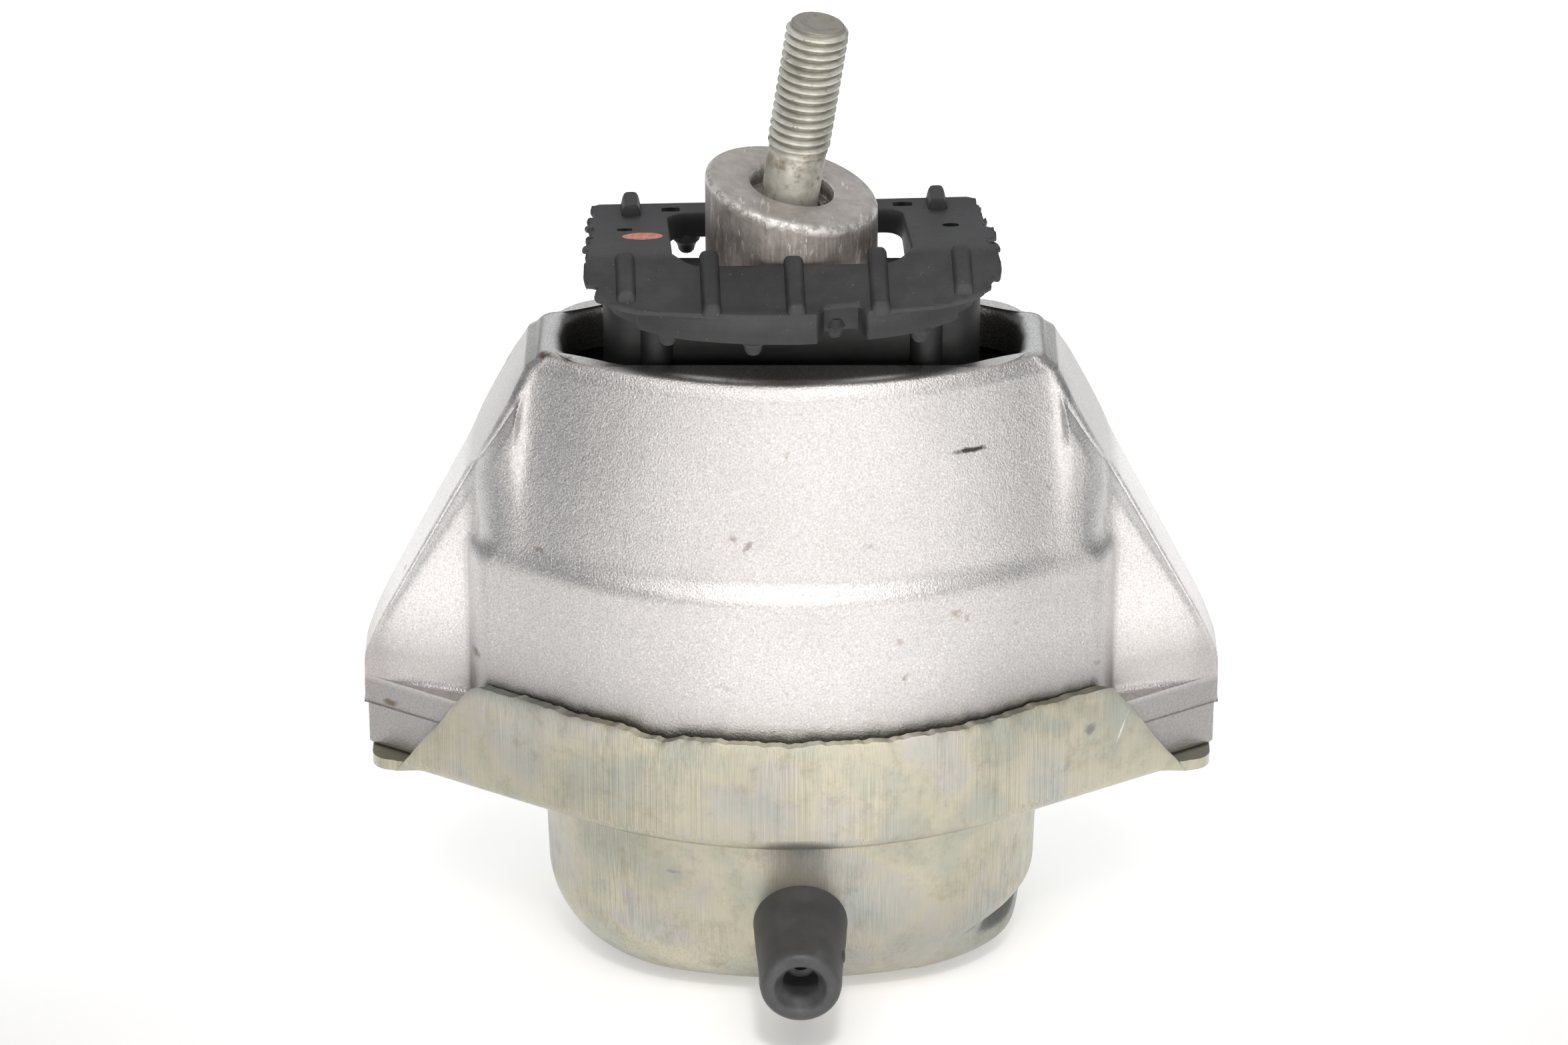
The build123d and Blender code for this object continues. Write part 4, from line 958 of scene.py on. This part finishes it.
def rib(x, start, end, width, rise_start, rise_end, name):
    """Bar along Y on the upper face: a rounded arch across, sunk in the plate, with round ends."""
    across = np.linspace(0, 2 * np.pi, 40, endpoint=False)
    up = np.sign(np.sin(across)) * np.abs(np.sin(across)) ** rib_power
    side = np.sign(np.cos(across)) * np.abs(np.cos(across)) ** rib_power
    slant = 1.0 - 0.28 * np.maximum(up, 0.0)
    rings = []
    for share in (0.0, 0.01, 0.03, 0.05, *np.linspace(0.08, 0.92, 18), 0.95, 0.97, 0.99, 1.0):
        y = start + (end - start) * share
        tip = np.sqrt(max(1 - (max(abs(share - 0.5) - 0.44, 0.0) / 0.06) ** 2, 0.02))
        rise = rise_start + (rise_end - rise_start) * share
        z = buffer_top(y) + np.where(up > 0, up * rise * tip, up * 0.9)
        across_rib = x + side * slant * width / 2 * (0.6 + 0.4 * tip)
        rings.append(np.column_stack([across_rib, np.full(40, y), z]))
    rings = settle(np.stack(rings))
    return skin(name, rings, rings[0].mean(0), rings[-1].mean(0))


pieces = [plate]
for number in range(-2, 3):
    front_end = front_y + (0.2, 0.9, 4.5)[abs(number)]
    pieces.append(rib(number * rib_pitch, front_end, crest_y + 0.8, rib_width, 1.6, 0.9, "rib"))
for x in (-rear_rib_x, rear_rib_x):
    pieces.append(rib(x, rear_y - 0.1, crease_y - 1.0, rear_rib_width, 2.3, 1.9, "rear_rib"))
nubs = ((-20.0, -18.2, 119.6), (-6.7, -21.6, 119.3), (6.2, -18.4, 120.4), (19.7, -19.0, 119.6))
nub_steps = ((1.8, 3.9), (2.2, 2.6), (1.75, 2.1), (1.45, 1.4), (1.3, 0.7), (1.0, 0.3), (0.6, 0.08))
for x, y, bottom_z in nubs + ((-15.9, 15.8, 118.5),):
    stack = np.stack([round_ring((x, y, bottom_z + rise), size, 28) for size, rise in nub_steps])
    top, bottom = (settle(np.array([x, y, bottom_z + rise])) for rise in (4.2, 0.0))
    pieces.append(skin("nub", settle(stack), top, bottom))
buffer = fuse("stop_buffer_rubber", pieces)
buffer.data.shade_smooth()
buffer.data.set_sharp_from_angle(angle=sharp_angle)

charcoal, tree, shader = finish("charcoal_buffer_rubber", 0.0, 0.62)
dust = speckle(tree, 95, 5, rough=0.62)
stops = ((0.30, (0.024, 0.024, 0.025)), (0.5, (0.040, 0.040, 0.042)), (0.72, (0.068, 0.068, 0.071)))
flecks = ramp(tree, speckle(tree, 1500, 2, offset=(4, 4, 1)), (0.70, 0.0), (0.76, 0.75))
tint = blend(tree, flecks, ramp(tree, dust, *stops), (0.16, 0.15, 0.14))
for x, y, half_x, half_y, _ in vents:
    centre = settle(np.array([x, y, buffer_top(y)])).tolist()
    # Painted shade: the inside of each vent recess is coloured near black.
    vent_painted_shade = patch(tree, centre, (half_x + 0.1, half_y + 0.1, 2.0), 0.0, 0.1, 0.2)
    tint = blend(tree, vent_painted_shade, tint, (0.003, 0.003, 0.003))
# Painted shade: the back wall of the notch in the front edge is coloured near black.
notch_painted_shade = patch(tree, (6.4, -21.8, 122.6), (5.4, 1.9, 3.6), 0.0, 0.3, 0.5)
tint = blend(tree, notch_painted_shade, tint, (0.010, 0.010, 0.011))
# Painted shade: the skirt and the plate's lower edges, below about 126 mm, are darkened towards near
# black.
tint = blend(tree, times(tree, height_mask(tree, 126.2, 124.0), 0.45), tint, (0.010, 0.010, 0.011))
bumps = maths(tree, "ADD", speckle(tree, 1400, 3), speckle(tree, 260, 4))
dress(tree, shader, tint, bumps, 0.08, 0.6, ramp(tree, dust, (0.3, 0.50), (0.7, 0.70)))
buffer.data.materials.append(charcoal)
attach(buffer, "root")
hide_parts("stop_buffer")

# Inspection mark: a dab of salmon paint on the left of the buffer's upper face. It is a film
# about 0.14 mm thick with an uneven, rounded edge.

mark_x, mark_y, mark_radius, mark_flatness = -23.3, 0.2, 3.3, 0.62
turn = np.linspace(0, 2 * np.pi, 72, endpoint=False)
blot = 1 + 0.05 * ripple(turn, 31, (6.2832, 3.1416, 1.2566, 0.8976))
rings = []
for size, rise in ((1.0, 0.02), (0.97, 0.10), (0.85, 0.13), (0.5, 0.14), (0.2, 0.14)):
    x = mark_x + mark_radius * size * blot * np.cos(turn)
    y = mark_y + mark_radius * mark_flatness * size * blot * np.sin(turn)
    rings.append(np.column_stack([x, y, buffer_top(y) + rise]))
under, centre = (settle(np.array([mark_x, mark_y, buffer_top(mark_y) + rise])) for rise in (-0.1, 0.14))
paint_mark = skin("paint_mark", settle(np.stack(rings)), under, centre)
salmon, tree, shader = finish("salmon_paint", 0.0, 0.6)
cover = speckle(tree, 900, 4, rough=0.7)
stops = ((0.30, (0.34, 0.15, 0.11)), (0.44, (0.66, 0.26, 0.18)), (0.7, (0.78, 0.36, 0.26)))
dress(tree, shader, ramp(tree, cover, *stops), cover, 0.05, 0.5)
paint_mark.data.materials.append(salmon)
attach(paint_mark, "root")

# Stud: M10 steel, zinc plated and dirty, set in the boss and leaning to the right. A plain shank
# stands in the counterbore, and the rolled thread runs up to a chamfered end with a dimple.

lean = np.radians(8.6)
thread_start, stud_top, stud_foot = 6.0, 28.6, -8.0
pitch, major, thread_deep = 1.5, 5.0, 0.88
shank_radius, runout_radius, runout_length = 4.6, 4.62, 2.0
chamfer_radius, chamfer_slope = 3.9, 0.95


def stand(rings):
    """Leans rings that are drawn upright about the stud's axis, and sets them on the boss."""
    x, y, z = rings[..., 0], rings[..., 1], rings[..., 2]
    along_x = x * np.cos(lean) + z * np.sin(lean)
    along_z = -x * np.sin(lean) + z * np.cos(lean) + boss_height
    return np.stack([along_x, y, along_z], -1)


turn = np.linspace(0, 2 * np.pi, 90, endpoint=False)
rows = np.arange(thread_start, stud_top - 0.02, pitch / 15)[:, None]
phase = (rows / pitch - turn[None, :] / (2 * np.pi)) % 1.0
radius = major - thread_deep * smooth_step(0.12, 0.88, np.abs(phase - 0.5) * 2.0)
runout = smooth_step(thread_start, thread_start + runout_length, rows)
radius = runout_radius * (1 - runout) + radius * runout
radius = np.minimum(radius, chamfer_radius + (stud_top - rows) * chamfer_slope)
threaded = np.stack([radius * np.cos(turn), radius * np.sin(turn), rows + 0 * turn], -1)
shank = np.stack([round_ring((0, 0, z), shank_radius, 90) for z in (stud_foot, -2.0, 0.0, 2.0, 4.0, 5.7)])
dimple = ((3.8, 0.02), (3.2, 0.0), (2.7, 0.12), (2.0, 0.45), (1.0, 0.6))
tip = np.stack([round_ring((0, 0, stud_top - drop), size, 90) for size, drop in dimple])
low_point, high_point = (stand(np.array([0.0, 0.0, z])) for z in (stud_foot, stud_top - 0.62))
stud = skin("stud_threaded", stand(np.concatenate([shank, threaded, tip])), low_point, high_point)

stud_steel, tree, shader = finish("dull_zinc_thread", 0.5, 0.45)
film = speckle(tree, 240, 5, rough=0.65)
stops = ((0.32, (0.46, 0.46, 0.40)), (0.5, (0.64, 0.63, 0.56)), (0.68, (0.78, 0.77, 0.71)))
grime = ramp(tree, speckle(tree, 480, 5, offset=(7, 1, 3), rough=0.7), (0.58, 0.0), (0.70, 0.8))
tint = blend(tree, grime, ramp(tree, film, *stops), (0.20, 0.15, 0.10))
foot = (0.0, 0.0, boss_height * 0.001)
values = {"Vector": on_object(tree), "Location": foot, "Rotation": (0.0, lean, 0.0)}
upright = node(tree, "ShaderNodeMapping", values, vector_type="TEXTURE").outputs["Vector"]
flat = node(tree, "ShaderNodeVectorMath", {0: upright, 1: (1.0, 1.0, 0.0)}, operation="MULTIPLY")
from_axis = node(tree, "ShaderNodeVectorMath", {0: flat.outputs["Vector"]}, operation="LENGTH")
groove = span(tree, from_axis.outputs["Value"], 0.00462, 0.00418)
thread_foot = boss_height + thread_start
threaded_part = times(tree, height_mask(tree, thread_foot + 0.5, thread_foot + 1.5), 0.72)
tint = blend(tree, times(tree, groove, threaded_part), tint, (0.22, 0.20, 0.16))
band = times(tree, height_mask(tree, 141.0, 143.0), height_mask(tree, 145.5, 144.3))
smears = ramp(tree, speckle(tree, 520, 5, offset=(2, 1, 6), rough=0.7), (0.36, 0.0), (0.60, 0.75))
tint = blend(tree, times(tree, band, smears), tint, (0.24, 0.19, 0.13))
rough = ramp(tree, film, (0.3, 0.38), (0.7, 0.55))
dress(tree, shader, tint, speckle(tree, 1900, 3), 0.03, 0.5, rough)
stud.data.materials.append(stud_steel)
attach(stud, "root")
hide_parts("stud")

# Studio: a white sheet under the part that glows a little behind it, and soft light from the
# front, the top and the rear. The camera stands where the photographer stood.

floor_size = 3.0
floor_mesh = bpy.data.meshes.new("floor")
corners = [(floor_size * x, floor_size * y, 0) for x, y in ((-1, -1), (1, -1), (1, 1), (-1, 1))]
floor_mesh.from_pydata(corners, [], [(0, 1, 2, 3)])
floor = put("floor", floor_mesh)
paper, tree, shader = finish("white_paper", 0.0, 0.9)
shader.inputs["Base Color"].default_value = (0.93, 0.93, 0.93, 1.0)
parts = node(tree, "ShaderNodeSeparateXYZ", {"Vector": on_object(tree)})
values = {"Value": parts.outputs["Y"], "From Min": -0.10, "From Max": 0.07, "To Max": 0.62}
glow = node(tree, "ShaderNodeMapRange", values, interpolation_type="SMOOTHSTEP")
tree.links.new(glow.outputs[0], shader.inputs["Emission Strength"])
shader.inputs["Emission Color"].default_value = (1.0, 1.0, 1.0, 1.0)
floor_mesh.materials.append(paper)

bpy.context.scene.view_settings.view_transform = "Standard"
cool, warm, white = (0.95, 0.98, 1.0), (1.0, 0.965, 0.945), (1.0, 1.0, 1.0)
world = bpy.data.worlds.new("studio")
bpy.context.scene.world = world
world.use_nodes = True
world.node_tree.nodes["Background"].inputs["Color"].default_value = (0.96, 0.98, 1.0, 1.0)
world.node_tree.nodes["Background"].inputs["Strength"].default_value = 0.26


def stand_at(name, data, place, target):
    """Object for a light or a camera at a place, turned so that its -Z axis points at a target."""
    made = put(name, data)
    made.location = place
    made.rotation_euler = (Vector(target) - made.location).to_track_quat("-Z", "Y").to_euler()
    return made


def lamp(name, kind, place, target, power, colour, **form):
    """Light of a kind, a power in watts and a colour, with its own form."""
    data = bpy.data.lights.new(name, kind)
    data.energy, data.color = power, colour
    for key, value in form.items():
        setattr(data, key, value)
    stand_at(name, data, place, target)


pool = {"spot_size": np.radians(48), "spot_blend": 0.35, "shadow_soft_size": 0.04}
lamp("table_light", "SPOT", (0.02, -0.45, 0.55), (0.01, -0.30, 0.0), 13.0, warm, **pool)
softboxes = (
    ("front_light", (0.12, -1.05, 0.26), (0, 0, 0.07), 1.75, 0.42, 4.3, warm),
    ("top_light", (0.0, -0.55, 0.80), (0.0, -0.05, 0.1), 0.8, 0.5, 4.0, warm),
    ("back_light", (0.0, 1.0, 0.62), (0, 0, 0.09), 1.4, 0.5, 1.55, cool),
    ("backdrop_light", (0.0, 0.55, 1.0), (0.0, 0.55, 0.0), 1.8, 0.9, 2.2, white),
)
for name, place, target, width, height, power, colour in softboxes:
    form = {"shape": "RECTANGLE", "size": width, "size_y": height}
    lamp(name, "AREA", place, target, power, colour, **form)

photo_width, focal_pixels = 2352, 9350
elevation, distance = np.radians(29.5), 1.020
aim_height, sideways = 0.0765, -0.0012
lens = bpy.data.cameras.new("camera")
lens.sensor_width = 36.0
lens.lens = lens.sensor_width * focal_pixels / photo_width
lens.clip_end = 20.0
spot = (sideways, -distance * np.cos(elevation), aim_height + distance * np.sin(elevation))
bpy.context.scene.camera = stand_at("camera", lens, spot, (sideways, 0.0, aim_height))
